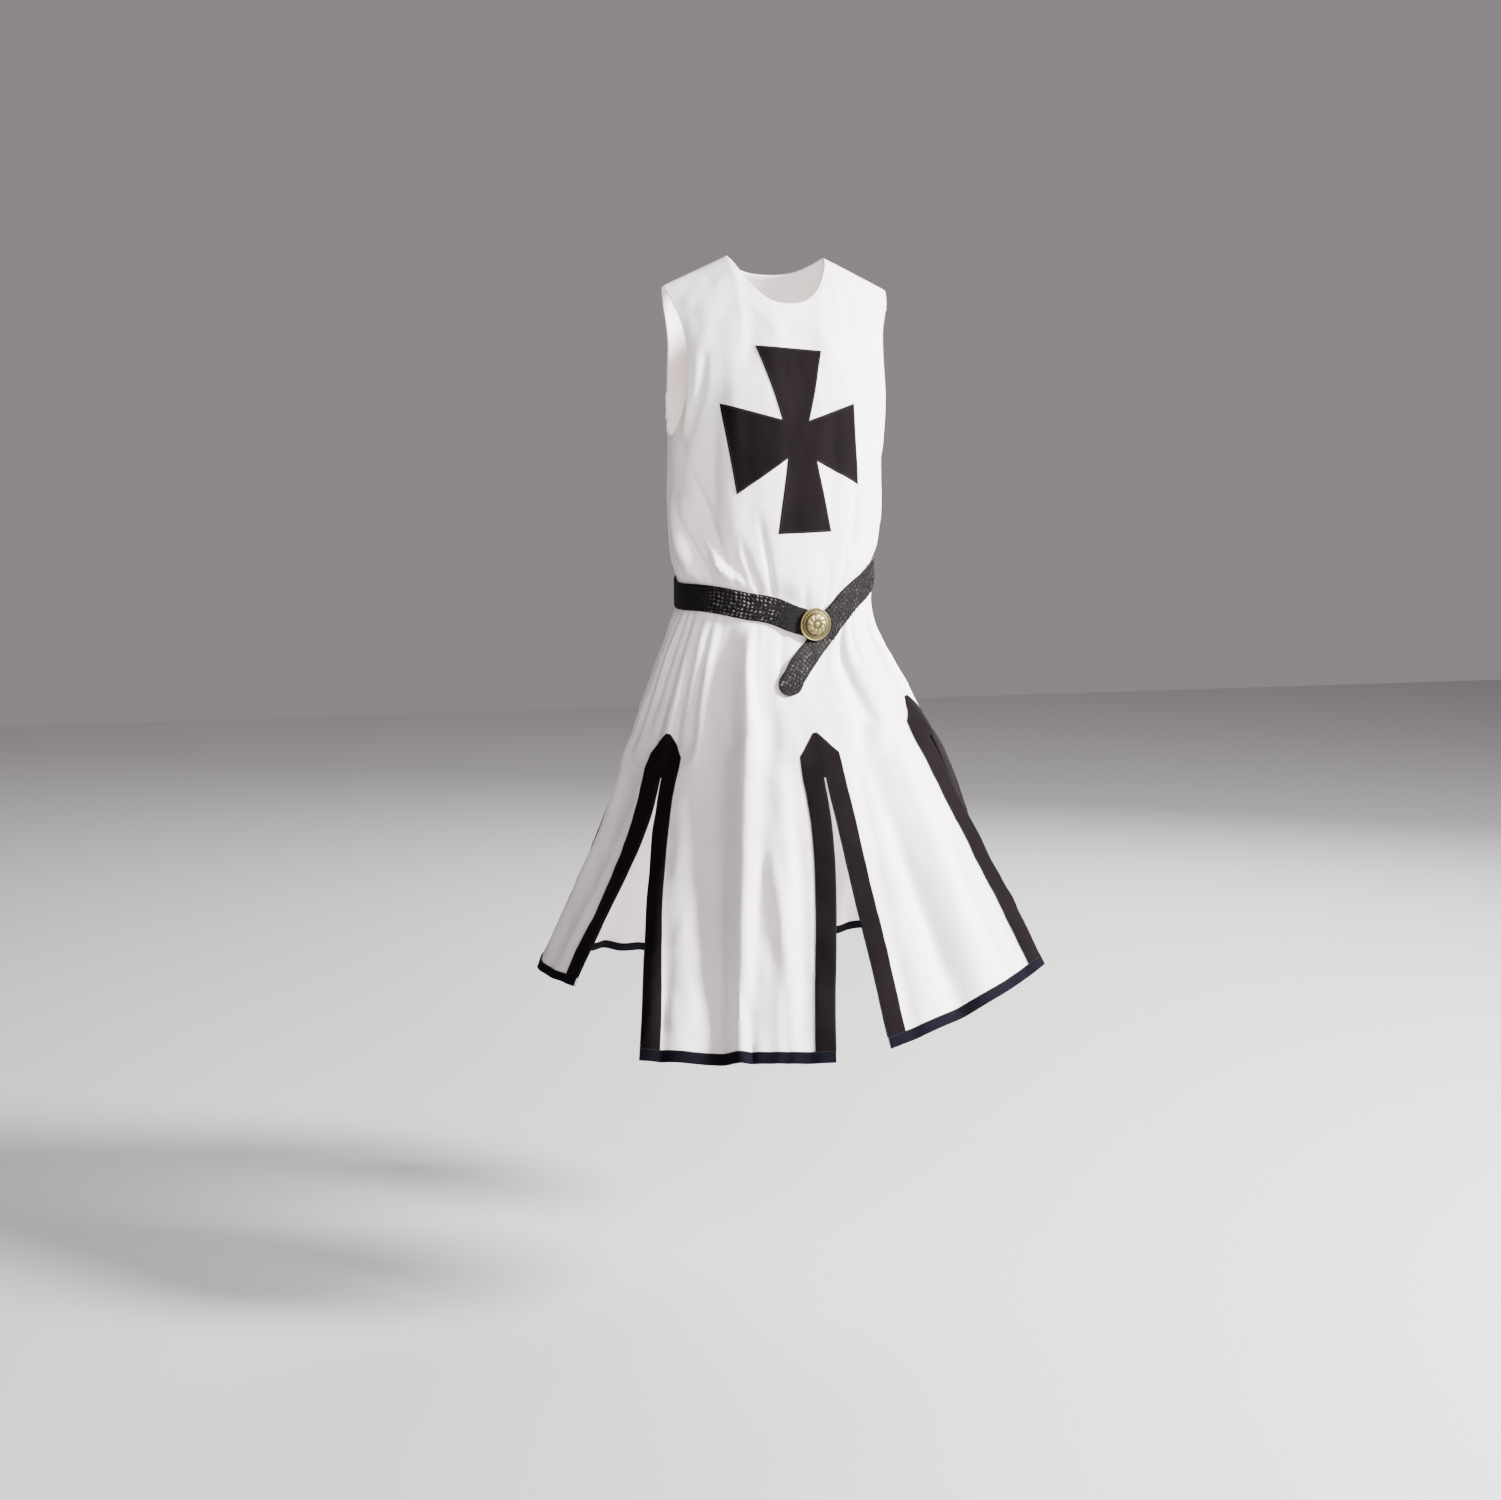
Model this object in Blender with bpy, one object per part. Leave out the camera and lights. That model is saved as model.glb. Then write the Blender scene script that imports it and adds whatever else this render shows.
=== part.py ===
"""A knight's tabard worn over other clothes and held in by its leather belt.

The front and the back are single lengths of white cotton, joined at the shoulders and
sides.  Six slits run up from the hem.  Everything sewn on is made from the wall's own
points, moved out.  The wearer faces -Y, so their left side is +X.
"""

import math
from collections import namedtuple

import bmesh
import bpy
import numpy as np
from mathutils import Vector

# Driving sizes in metres.  The origin is between the two neck ends of the shoulder seams.
WALL = 0.0015
TRIM_THICKNESS = 0.001
BAND_THICKNESS = 0.001
GAP = 0.0003

SHOULDER_HALF = 0.172
SHOULDER_FALL = 0.045
SHOULDER_ROUND = 0.22
SHOULDER_CURVE = 1.6
NECK_HALF = 0.075
NECK_DROP = {"front": 0.072, "back": 0.024}
NECK_CURVE = 2.6
ARMPIT = -0.262

TRIM_WIDTH = 0.028
TRIM_POINT = 0.030
SLIT_BELOW_POINT = 0.062
SLIT_START = 0.004
BAND_WIDTH = 0.014

BELT_WIDTH = 0.040
BELT_THICKNESS = 0.003
BELT_SEAT = 0.0215
BELT_STEP = 0.012
BELT_READINGS = 40
TIP_STEPS = (0.03, 0.10, 0.20)
TIP_HALF = 0.002
TAIL_LENGTH = 0.120
TAIL_TAPER = 0.15
BUCKLE_ANGLE, BUCKLE_HEIGHT = 8.6, -0.537
BUCKLE_SIDES = 32

CROSS_CLEAR = 0.0004
CROSS_THICKNESS = 0.001
CROSS_MARGIN = 0.030
CUTTER_FRONT, CUTTER_BACK = -0.200, -0.020

# The lines that run round the wall.  A point's level says between which two it lies;
# above the underarm it is the share of the way up to the shoulder seam, below zero.
UNDERARM, BELT_TOP, BELT_BOTTOM, POINT, CORNER, CUT, HEM = range(7)

# Armhole edge: how far it stands from the middle, and how much wider than the edge
# the chest would go on, from the underarm (0) to the shoulder seam (1).
Armhole = namedtuple("Armhole", "rise half_width reach")
ARMHOLE = [
    Armhole(0.00, 0.161, 1.00),
    Armhole(0.12, 0.157, 1.05),
    Armhole(0.35, 0.151, 1.19),
    Armhole(0.65, 0.152, 1.24),
    Armhole(1.00, 0.172, 1.24),
]

# Height of the belt's middle and of the slit points, by the angle round the body:
# 0 is the middle of the front, 90 the wearer's left side, 180 the back, 270 the right.
Round = namedtuple("Round", "angle belt point")
ROUND = [
    Round(-90, -0.498, -0.692),
    Round(-44, -0.502, -0.694),
    Round(-28, -0.509, -0.694),
    Round(-10, -0.518, -0.692),
    Round(2, -0.533, -0.688),
    Round(10, -0.541, -0.685),
    Round(16, -0.541, -0.679),
    Round(22, -0.530, -0.673),
    Round(33, -0.505, -0.663),
    Round(51, -0.482, -0.649),
    Round(72, -0.463, -0.642),
    Round(90, -0.452, -0.643),
    Round(135, -0.455, -0.660),
    Round(180, -0.465, -0.678),
    Round(225, -0.480, -0.690),
    Round(270, -0.498, -0.692),
]

# Rings of the body under the arms: half width, depth to the front and to the back,
# roundness (2 is an ellipse) and how far the middle stands to the wearer's left.
Ring = namedtuple("Ring", "level half_width front back roundness middle")
RINGS = [
    Ring(0.00, 0.161, 0.115, 0.115, 2.2, 0.000),
    Ring(0.45, 0.162, 0.117, 0.112, 2.2, 0.000),
    Ring(0.75, 0.159, 0.116, 0.107, 2.2, 0.000),
    Ring(0.90, 0.156, 0.114, 0.105, 2.2, 0.000),
    Ring(1.00, 0.149, 0.105, 0.098, 2.2, 0.000),
    Ring(2.00, 0.149, 0.105, 0.098, 2.2, 0.000),
    Ring(2.12, 0.153, 0.112, 0.105, 2.15, -0.005),
    Ring(2.35, 0.165, 0.128, 0.119, 2.1, -0.010),
    Ring(2.65, 0.187, 0.153, 0.139, 2.05, -0.009),
    Ring(3.00, 0.214, 0.182, 0.161, 2.0, -0.003),
    Ring(4.00, 0.227, 0.196, 0.172, 2.0, 0.000),
    Ring(5.00, 0.240, 0.209, 0.182, 2.0, 0.003),
]

# Skirt panels between two slits, with the two lower corners and the hem's bow.
Panel = namedtuple("Panel", "name start end first_corner last_corner bow")
PANELS = [
    Panel("side_right", 240, 299, (-0.270, 0.250, -1.070), (-0.311, 0.008, -1.080), 0.050),
    Panel("front_right", -61, 1.9, (-0.289, -0.298, -1.120), (-0.032, -0.388, -1.120), 0.012),
    Panel("front_left", 1.9, 57, (0.038, -0.413, -1.100), (0.3145, -0.3053, -1.021), 0.020),
    Panel("side_left", 57, 120, (0.345, -0.090, -1.040), (0.290, 0.200, -1.040), 0.040),
    Panel("back_left", 120, 180, (0.270, 0.310, -1.080), (0.010, 0.385, -1.120), 0.020),
    Panel("back_right", 180, 240, (-0.010, 0.385, -1.120), (-0.265, 0.310, -1.085), 0.020),
]
RIGHT_SEAM = 270
LEFT_SEAM = 90
COLUMN_STEP = 5.6
SKIRT_LENGTH = 0.37

# Levels of the rows of points, closer where the wall bends.
UPPER_ROWS = [-1.0, -0.98, -0.93, -0.85, -0.74, -0.61, -0.47, -0.33, -0.2, -0.09]
BODY_ROWS = [0, 0.17, 0.35, 0.53, 0.7, 0.83, 0.92, 1, 2, 2.1, 2.24, 2.43, 2.68, 3, 4, 5]
SKIRT_ROWS = [5.1, 5.22, 5.35, 5.48, 5.61, 5.74, 5.87]

# Largest folds: a soft ridge (+) or trough (-) from one place on the wall to another.
FOLD_FADE = 0.7
Fold = namedtuple("Fold", "name start_level end_level start_angle end_angle width depth")
FOLDS = [
    Fold("chest_trough", -0.45, 1.00, -47, -46, 9, -0.007),
    Fold("side_pouch", 0.40, 1.00, -72, -66, 8, 0.007),
    Fold("under_arm", 0.05, 1.00, 58, 44, 8, -0.004),
    Fold("front_ridge", 2.00, 6.30, -24, -28, 6, 0.010),
    Fold("front_valley", 2.00, 6.60, -36, -37, 7, -0.013),
    Fold("front_trough", 2.00, 6.20, -14, -21, 5, -0.006),
    Fold("slit_ridge", 3.50, 6.40, -15, -14, 5, 0.005),
    Fold("slit_trough", 4.00, 6.40, -9, -7, 5, -0.005),
    Fold("left_crease", 2.00, 5.20, 28, 18, 5, -0.006),
    Fold("left_hip", 2.00, 3.60, 52, 50, 6, -0.005),
    Fold("left_hem", 5.05, 6.50, 23, 25, 5, -0.008),
    Fold("left_edge", 4.60, 6.10, 40, 42, 6, -0.005),
    Fold("right_hip", 2.00, 4.60, -70, -72, 6, -0.007),
    Fold("side_right_hem", 4.80, 6.50, 281, 280, 7, -0.008),
    Fold("side_right_back", 2.00, 6.40, 256, 254, 7, -0.009),
    Fold("side_left_front", 2.00, 6.30, 76, 74, 6, -0.008),
    Fold("side_left_back", 4.40, 6.50, 103, 101, 7, -0.009),
    Fold("back_pouch", 0.30, 1.00, 168, 172, 16, 0.006),
    Fold("back_crease", -0.50, 1.00, 214, 206, 9, -0.006),
    Fold("back_fold_left", 2.00, 6.40, 142, 144, 7, -0.011),
    Fold("back_ridge_left", 2.00, 6.40, 154, 157, 6, 0.009),
    Fold("back_fold_middle", 2.00, 6.30, 170, 168, 6, -0.007),
    Fold("back_ridge_right", 2.00, 6.30, 196, 197, 6, 0.010),
    Fold("back_fold_right", 2.00, 6.50, 208, 211, 7, -0.012),
    Fold("back_hem", 5.10, 6.50, 226, 226, 5, -0.007),
]

# Corners of the chest cross, seen from the front.
Corner = namedtuple("Corner", "name x z")
CROSS = [
    Corner("top_right", -0.058, -0.134),
    Corner("neck_right", -0.0245, -0.240),
    Corner("arm_right_top", -0.110, -0.217),
    Corner("arm_right_foot", -0.089, -0.348),
    Corner("waist_right", -0.0155, -0.296),
    Corner("foot_right", -0.031, -0.405),
    Corner("foot_left", 0.053, -0.402),
    Corner("waist_left", 0.029, -0.300),
    Corner("arm_left_foot", 0.099, -0.334),
    Corner("arm_left_top", 0.089, -0.216),
    Corner("neck_left", 0.018, -0.241),
    Corner("top_left", 0.039, -0.141),
]

# The strap's middle line from the buckle round the wearer's right side and the back,
# under the buckle again and down to its tip: how far it hangs below the belt's line,
# and how far it stands off the cloth.
Strap = namedtuple("Strap", "angle below off")
STRAP = [
    Strap(10.6, 0.001, 0.0044),
    Strap(7, -0.002, 0.0044),
    Strap(2.5, -0.001, 0.0044),
    Strap(-3, 0.000, 0.0038),
    Strap(-10, 0.000, 0.0014),
    Strap(-18, 0.000, 0.0008),
    Strap(-40, 0.000, 0.0008),
    Strap(-90, 0.000, 0.0008),
    Strap(-150, 0.000, 0.0008),
    Strap(-210, 0.000, 0.0008),
    Strap(-270, 0.000, 0.0008),
    Strap(-320, 0.000, 0.0008),
    Strap(-336, 0.000, 0.0008),
    Strap(-340, 0.001, 0.0008),
    Strap(-346, 0.014, 0.0010),
    Strap(-353.5, 0.047, 0.0012),
    Strap(-359, 0.074, 0.0016),
    Strap(-366.5, 0.114, 0.0018),
]

# Outline of the domed buckle, from the middle of its back to the top of its dome.
Turn = namedtuple("Turn", "radius height")
BUCKLE = [
    Turn(0.0230, 0.0000),
    Turn(0.0242, 0.0010),
    Turn(0.0242, 0.0026),
    Turn(0.0228, 0.0039),
    Turn(0.0213, 0.0031),
    Turn(0.0200, 0.0039),
    Turn(0.0155, 0.0069),
    Turn(0.0092, 0.0086),
]
BUCKLE_TOP = 0.0093


def smooth(keys, values, at):
    """Read a cubic curve through the values at the keys."""
    keys = np.asarray(keys, float)
    values = np.asarray(values, float)
    at = np.clip(at, keys[0], keys[-1])
    slopes = np.gradient(values, keys)
    i = np.clip(np.searchsorted(keys, at) - 1, 0, len(keys) - 2)
    span = keys[i + 1] - keys[i]
    s = (at - keys[i]) / span
    return (
        values[i] * (1 + 2 * s) * (1 - s) ** 2
        + values[i + 1] * s * s * (3 - 2 * s)
        + span * s * (1 - s) * (slopes[i] * (1 - s) - slopes[i + 1] * s)
    )


def column(table, name):
    return [getattr(row, name) for row in table]


def turned(angle):
    """The same direction as an angle from -90 up to 270."""
    return (np.asarray(angle, float) + 90) % 360 - 90


def line_height(angle, line):
    """Height of one of the lines round the body."""
    angle = turned(angle)
    belt = smooth(column(ROUND, "angle"), column(ROUND, "belt"), angle)
    point = smooth(column(ROUND, "angle"), column(ROUND, "point"), angle)
    ahead = smooth(column(ROUND, "angle"), column(ROUND, "belt"), angle + 2)
    arc = math.radians(2) * RINGS[4].half_width
    seat = BELT_SEAT * np.sqrt(1 + ((ahead - belt) / arc) ** 2)
    heights = {
        UNDERARM: ARMPIT + 0 * belt,
        BELT_TOP: belt + seat,
        BELT_BOTTOM: belt - seat,
        POINT: point,
        CORNER: point - TRIM_POINT,
        CUT: point - SLIT_BELOW_POINT,
    }
    return heights[line]


def signed_power(value, power):
    return np.sign(value) * np.abs(value) ** power


def ring(angle, level):
    """Points of the wall between the underarm and the start of the slits.

    Under the belt the wall keeps one size, so that the strap lies flat on it.
    """
    line = int(min(level, CUT - 1))
    rad = np.radians(angle)
    held = BELT_TOP if BELT_TOP < level < BELT_BOTTOM else level
    size = {name: smooth(column(RINGS, "level"), column(RINGS, name), held)
            for name in Ring._fields[1:]}
    depth = np.where(np.cos(rad) > 0, size["front"], size["back"])
    x = size["middle"] + size["half_width"] * signed_power(np.sin(rad), 2 / size["roundness"])
    y = -depth * signed_power(np.cos(rad), 2 / size["roundness"])
    top, bottom = line_height(angle, line), line_height(angle, line + 1)
    z = top + (bottom - top) * (level - line)
    return np.stack([x, y, z], axis=-1)


def shoulder_height(x):
    return -SHOULDER_FALL * np.clip(np.abs(x) - NECK_HALF, 0, None) / (SHOULDER_HALF - NECK_HALF)


def upper(angle, level, side):
    """Points of the chest or back, from the underarm up to the shoulder seam and neck."""
    rise = -level
    rad = np.radians(angle)
    depth = getattr(RINGS[0], side)
    fraction = signed_power(np.sin(rad), 2 / RINGS[0].roundness)
    edge = smooth(column(ARMHOLE, "rise"), column(ARMHOLE, "half_width"), rise)
    reach = smooth(column(ARMHOLE, "rise"), column(ARMHOLE, "reach"), rise)
    top_x = SHOULDER_HALF * fraction
    neck = -NECK_DROP[side] * np.clip(1 - np.abs(top_x / NECK_HALF) ** NECK_CURVE, 0, 1)
    x = edge * fraction
    z = ARMPIT + (np.minimum(shoulder_height(top_x), neck) - ARMPIT) * rise
    drop = np.clip((shoulder_height(x) - z) / SHOULDER_ROUND, 0, 1)
    drop = np.where(drop < 1e-6, 0, drop)
    bulge = (1 - (1 - drop) ** SHOULDER_CURVE) ** (1 / SHOULDER_CURVE)
    power = RINGS[0].roundness
    across = np.clip(1 - np.abs(fraction / reach) ** power, 0, 1) ** (1 / power)
    y = depth * bulge * across * (-1 if side == "front" else 1)
    return np.stack([x, y, z], axis=-1)


def skirt(panel, u, drop):
    """Points of one hanging panel: u runs along the hem, drop from the slit's start down."""
    u = np.asarray(u, float)
    start_angle, end_angle = slit_edges(panel)
    angle = start_angle + (end_angle - start_angle) * u
    first, last = np.array(panel.first_corner), np.array(panel.last_corner)
    out = np.cross(last - first, (0, 0, 1))
    out = out / np.linalg.norm(out)
    start = ring(angle, CUT)
    end = first + (last - first) * u[:, None] + out * (panel.bow * 4 * u * (1 - u))[:, None]
    chord = end - start
    lead = start - ring(angle, POINT)
    lead = lead / np.linalg.norm(lead, axis=1, keepdims=True)
    lead = lead * np.linalg.norm(chord, axis=1, keepdims=True)
    s = drop
    return (
        start * (1 + 2 * s) * (1 - s) ** 2
        + end * s * s * (3 - 2 * s)
        + lead * s * (1 - s) ** 2
        - chord * s * s * (1 - s)
    )


def slit_edges(panel):
    """Angles of a panel's two edges, half a slit's starting width inside its ends."""
    half = math.degrees(SLIT_START / 2 / RINGS[-1].half_width)
    return panel.start + half, panel.end - half


def trim_share(panel, drop):
    """The share of a panel's width that one trim strip covers."""
    ends = skirt(panel, [0.0, 1.0], drop)
    return TRIM_WIDTH / np.linalg.norm(ends[1] - ends[0])


def place_across(panel, s, level):
    """Turn a column's place into a share u of the panel's width.

    Places 0 and 3 are the panel's edges, 1 and 2 the inner edges of its trim strips.
    """
    share = trim_share(panel, max(level - CUT, 0))
    return np.interp(s, [0, 1, 2, 3], [0, share, 1 - share, 1])


def place_of_angle(panel, angle):
    start, end = slit_edges(panel)
    share = trim_share(panel, 0)
    return float(np.interp((angle - start) / (end - start), [0, share, 1 - share, 1], [0, 1, 2, 3]))


def fold_depth(angle, level):
    """How far the folds move the wall out at these angles."""
    total = np.zeros_like(angle)
    for fold in FOLDS:
        along = (level - fold.start_level) / (fold.end_level - fold.start_level)
        if 0 < along < 1:
            middle = fold.start_angle + (fold.end_angle - fold.start_angle) * along
            away = (turned(angle) - middle) / fold.width
            total = total + fold.depth * math.sin(math.pi * along) ** FOLD_FADE * np.exp(-away * away)
    return total


def columns_between(panel, first, last, stops=()):
    """Places of a panel's columns, with one at each stop and even steps between."""
    start, end = slit_edges(panel)
    fixed = sorted({first, last, *[s for s in (0, 1, 2, 3, *stops) if first <= s <= last]})
    places = [fixed[0]]
    for a, b in zip(fixed, fixed[1:]):
        wide = (place_across(panel, b, CUT) - place_across(panel, a, CUT)) * (end - start)
        inner = a >= 1 and b <= 2
        steps = max(1, math.ceil(wide / COLUMN_STEP)) if inner else 1
        places += [a + (b - a) * k / steps for k in range(1, steps + 1)]
    return places


def levels():
    band = HEM - BAND_WIDTH / SKIRT_LENGTH
    return UPPER_ROWS + BODY_ROWS + SKIRT_ROWS + [band, HEM]


def panel_grid(panel, places, side):
    """Points of one panel and of the cloth above it, a row for each level."""
    rows = []
    angles = []
    start, end = slit_edges(panel)
    for level in levels():
        u = place_across(panel, places, level)
        angle = start + (end - start) * u
        if level > CUT:
            rows.append(skirt(panel, u, level - CUT))
        elif level >= UNDERARM:
            rows.append(ring(angle, level))
        else:
            rows.append(upper(angle, level, side))
        angles.append(angle)
    points = np.array(rows)
    out = normals_of(points)
    depth = np.array([fold_depth(angle, level) for angle, level in zip(angles, levels())])
    return points + out * depth[:, :, None]


def normals_of(points):
    """Unit directions out of the wall at every point of a grid."""
    across = np.gradient(points, axis=1)
    down = np.gradient(points, axis=0)
    out = np.cross(down, across)
    return out / np.linalg.norm(out, axis=2, keepdims=True)


Length = namedtuple("Length", "points normals places slits")


def garment():
    """The grids of the front and the back, with the normals shared along their seams."""
    panel = {p.name: p for p in PANELS}
    neck = math.degrees(math.asin((NECK_HALF / SHOULDER_HALF) ** (RINGS[0].roundness / 2)))
    seam_right = place_of_angle(panel["side_right"], RIGHT_SEAM)
    seam_left = place_of_angle(panel["side_left"], LEFT_SEAM)
    plan = {
        "front": [("side_right", seam_right, 3, None), ("front_right", 0, 3, -neck),
                  ("front_left", 0, 3, neck), ("side_left", 0, seam_left, None)],
        "back": [("side_left", seam_left, 3, None), ("back_left", 0, 3, 180 - neck),
                 ("back_right", 0, 3, 180 + neck), ("side_right", 0, seam_right, None)],
    }
    lengths = {}
    for side, stretches in plan.items():
        grids, normals, places = [], [], []
        for name, first, last, stop in stretches:
            stops = () if stop is None else (place_of_angle(panel[name], stop),)
            across = columns_between(panel[name], first, last, stops)
            grid = panel_grid(panel[name], across, side)
            grids.append(grid)
            normals.append(normals_of(grid))
            places += [(name, s) for s in across]
        slits = np.cumsum([g.shape[1] for g in grids])[:-1] - 1
        points, out = np.concatenate(grids, axis=1), np.concatenate(normals, axis=1)
        lengths[side] = Length(points, out, places, list(slits))
    share_seams(lengths["front"], lengths["back"])
    return lengths


def share_seams(front, back):
    """Make the walls meet squarely, a gap apart, along the side and shoulder seams."""
    below = [i for i, level in enumerate(levels()) if level >= UNDERARM]
    for here, there in ((0, -1), (-1, 0)):
        both = front.normals[below, here] + back.normals[below, there]
        both = both / np.linalg.norm(both, axis=1, keepdims=True)
        front.normals[below, here] = both
        back.normals[below, there] = both
    for length, toward in ((front, -1), (back, 1)):
        seam = np.abs(length.points[0, :, 1]) < 1e-9
        length.normals[0, seam, 1] = 0
        norm = np.linalg.norm(length.normals[0, seam], axis=1, keepdims=True)
        length.normals[0, seam] /= norm
        length.points[0, seam, 1] += toward * GAP / 2
        for edge in (0, -1):
            length.points[1:, edge, 1] += toward * GAP / 2


def cell_faces(length, wanted):
    """Triangles of the wanted cells, whose diagonals lean away from the nearest slit.

    wanted(row, column) says 'all', 'point' for the half under a trim's point, or nothing.
    """
    rows, columns = length.points.shape[:2]
    faces = []
    for i in range(rows - 1):
        for j in range(columns - 1):
            share = wanted(i, j)
            if not share:
                continue
            a, b = i * columns + j, i * columns + j + 1
            d, c = a + columns, b + columns
            if j not in length.slits and length.places[j][1] >= 1.5:
                faces += [(d, c, b)] + ([(a, d, b)] if share == "all" else [])
            else:
                faces += [(a, d, c)] + ([(a, c, b)] if share == "all" else [])
    return faces


def is_cut(length, i, j):
    return j in length.slits and levels()[i + 1] > CUT


def material(name, colour, roughness, metallic=0.0):
    mat = bpy.data.materials.new(name)
    mat.use_nodes = True
    bsdf = mat.node_tree.nodes["Principled BSDF"]
    bsdf.inputs["Base Color"].default_value = (*colour, 1)
    bsdf.inputs["Roughness"].default_value = roughness
    bsdf.inputs["Metallic"].default_value = metallic
    return mat


def shell(name, low, high, faces, mat):
    """A closed wall between two layers of points that share the same faces."""
    used = sorted({v for face in faces for v in face})
    index = {v: k for k, v in enumerate(used)}
    faces = [tuple(index[v] for v in face) for face in faces]
    count = len(used)
    edges = {(face[k], face[(k + 1) % len(face)]) for face in faces for k in range(len(face))}
    rim = [(a, b) for a, b in edges if (b, a) not in edges]
    walls = [(b, a, a + count, b + count) for a, b in sorted(rim)]
    inside = [tuple(v + count for v in reversed(face)) for face in faces]
    points = [tuple(high[v]) for v in used] + [tuple(low[v]) for v in used]
    mesh = bpy.data.meshes.new(name)
    mesh.from_pydata(points, [], faces + inside + walls)
    mesh.materials.append(mat)
    mesh.shade_smooth()
    mesh.set_sharp_from_angle(angle=math.radians(40))
    obj = bpy.data.objects.new(name, mesh)
    bpy.context.scene.collection.objects.link(obj)
    return obj


def flat(array):
    return array.reshape(-1, 3)


def make_lengths(lengths, mat):
    for name, length in lengths.items():
        faces = cell_faces(length, lambda i, j: "" if is_cut(length, i, j) else "all")
        inner = length.points - length.normals * WALL
        shell(name, flat(inner), flat(length.points), faces, mat)


def make_trims(lengths, mat):
    """The black strips along each slit, joined under a pointed top."""
    rows = levels()
    point, last = rows.index(POINT), len(rows) - 2
    number = 0
    for length in lengths.values():
        for slit in length.slits:
            def wanted(i, j):
                if not (point <= i < last and slit - 1 <= j <= slit + 1) or is_cut(length, i, j):
                    return ""
                return "point" if i == point and j != slit else "all"

            points = length.points.copy()
            up = points[last - 1] - points[last]
            points[last] += up / np.linalg.norm(up, axis=1, keepdims=True) * GAP
            low = points + length.normals * GAP
            high = points + length.normals * (GAP + TRIM_THICKNESS)
            number += 1
            shell(f"slit_trim_{number}", flat(low), flat(high), cell_faces(length, wanted), mat)


def hem_columns(lengths, name):
    """The last two rows of a panel, joined across the side seam."""
    parts = []
    for side in ("front", "back") if name == "side_left" else ("back", "front"):
        length = lengths[side]
        chosen = [j for j, (panel, _) in enumerate(length.places) if panel == name]
        if chosen:
            parts.append((length.points[-2:, chosen], length.normals[-2:, chosen]))
    if len(parts) == 1:
        return parts[0]
    (points_a, out_a), (points_b, out_b) = parts
    points_a[:, -1] = (points_a[:, -1] + points_b[:, 0]) / 2
    points = np.concatenate([points_a, points_b[:, 1:]], axis=1)
    return points, np.concatenate([out_a, out_b[:, 1:]], axis=1)


def make_bands(lengths, mat):
    """The band that wraps each panel's hem, on the outside and on the inside."""
    for number, panel in enumerate(PANELS, 1):
        points, out = hem_columns(lengths, panel.name)
        down = points[1] - points[0]
        down = down / np.linalg.norm(down, axis=1, keepdims=True)
        route = [
            (points[0], out[0]),
            (points[1], out[1] + down),
            (points[1] - out[1] * WALL, down - out[1]),
            (points[0] - out[0] * WALL, -out[0]),
        ]
        low = np.array([place + way * GAP for place, way in route])
        high = np.array([place + way * (GAP + BAND_THICKNESS) for place, way in route])
        count = points.shape[1]
        faces = [(i * count + j, (i + 1) * count + j, (i + 1) * count + j + 1, i * count + j + 1)
                 for i in range(3) for j in range(count - 1)]
        shell(f"hem_band_{number}", flat(low), flat(high), faces, mat)


def make_cross(lengths, mat):
    """The cross, cut out of a copy of the chest with a straight-sided cutter."""
    length = lengths["front"]
    reach = max(abs(corner.x) for corner in CROSS) + CROSS_MARGIN
    top = max(corner.z for corner in CROSS) + CROSS_MARGIN
    foot = min(corner.z for corner in CROSS) - CROSS_MARGIN

    def wanted(i, j):
        across, _, height = length.points[i, j:j + 2].T
        near = np.abs(across).max() < reach and foot < height.min() and height.max() < top
        return "all" if near else ""

    low = length.points + length.normals * CROSS_CLEAR
    high = low + length.normals * CROSS_THICKNESS
    cross = shell("cross", flat(low), flat(high), cell_faces(length, wanted), mat)
    count = len(CROSS)
    points = [(c.x, y, c.z) for y in (CUTTER_FRONT, CUTTER_BACK) for c in CROSS]
    sides = [(k, k + count, (k + 1) % count + count, (k + 1) % count) for k in range(count)]
    ends = [tuple(range(count)), tuple(reversed(range(count, 2 * count)))]
    mesh = bpy.data.meshes.new("cross_cutter")
    mesh.from_pydata(points, [], sides + ends)
    face_out(mesh)
    cutter = bpy.data.objects.new("cross_cutter", mesh)
    bpy.context.scene.collection.objects.link(cutter)
    cutter.hide_render = True
    cutter.display_type = "WIRE"
    cut = cross.modifiers.new("outline", "BOOLEAN")
    cut.operation = "INTERSECT"
    cut.object = cutter


def face_out(mesh):
    bm = bmesh.new()
    bm.from_mesh(mesh)
    bmesh.ops.recalc_face_normals(bm, faces=bm.faces)
    bm.to_mesh(mesh)
    bm.free()


def wall_at(angle, height):
    """The smooth wall's point at an angle and a height between the belt and the slits."""
    lines = [float(line_height(angle, line)) for line in (UNDERARM, BELT_TOP, BELT_BOTTOM, POINT)]
    level = float(np.interp(-height, [-z for z in lines], [UNDERARM, BELT_TOP, BELT_BOTTOM, POINT]))
    return Vector(ring(float(angle), level))


def wall_out(angle, height):
    """The direction straight out of the smooth wall there."""
    turn, rise = 1, 0.004
    across = wall_at(angle + turn, height) - wall_at(angle - turn, height)
    up = wall_at(angle, height + rise) - wall_at(angle, height - rise)
    return across.cross(up).normalized()


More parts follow.
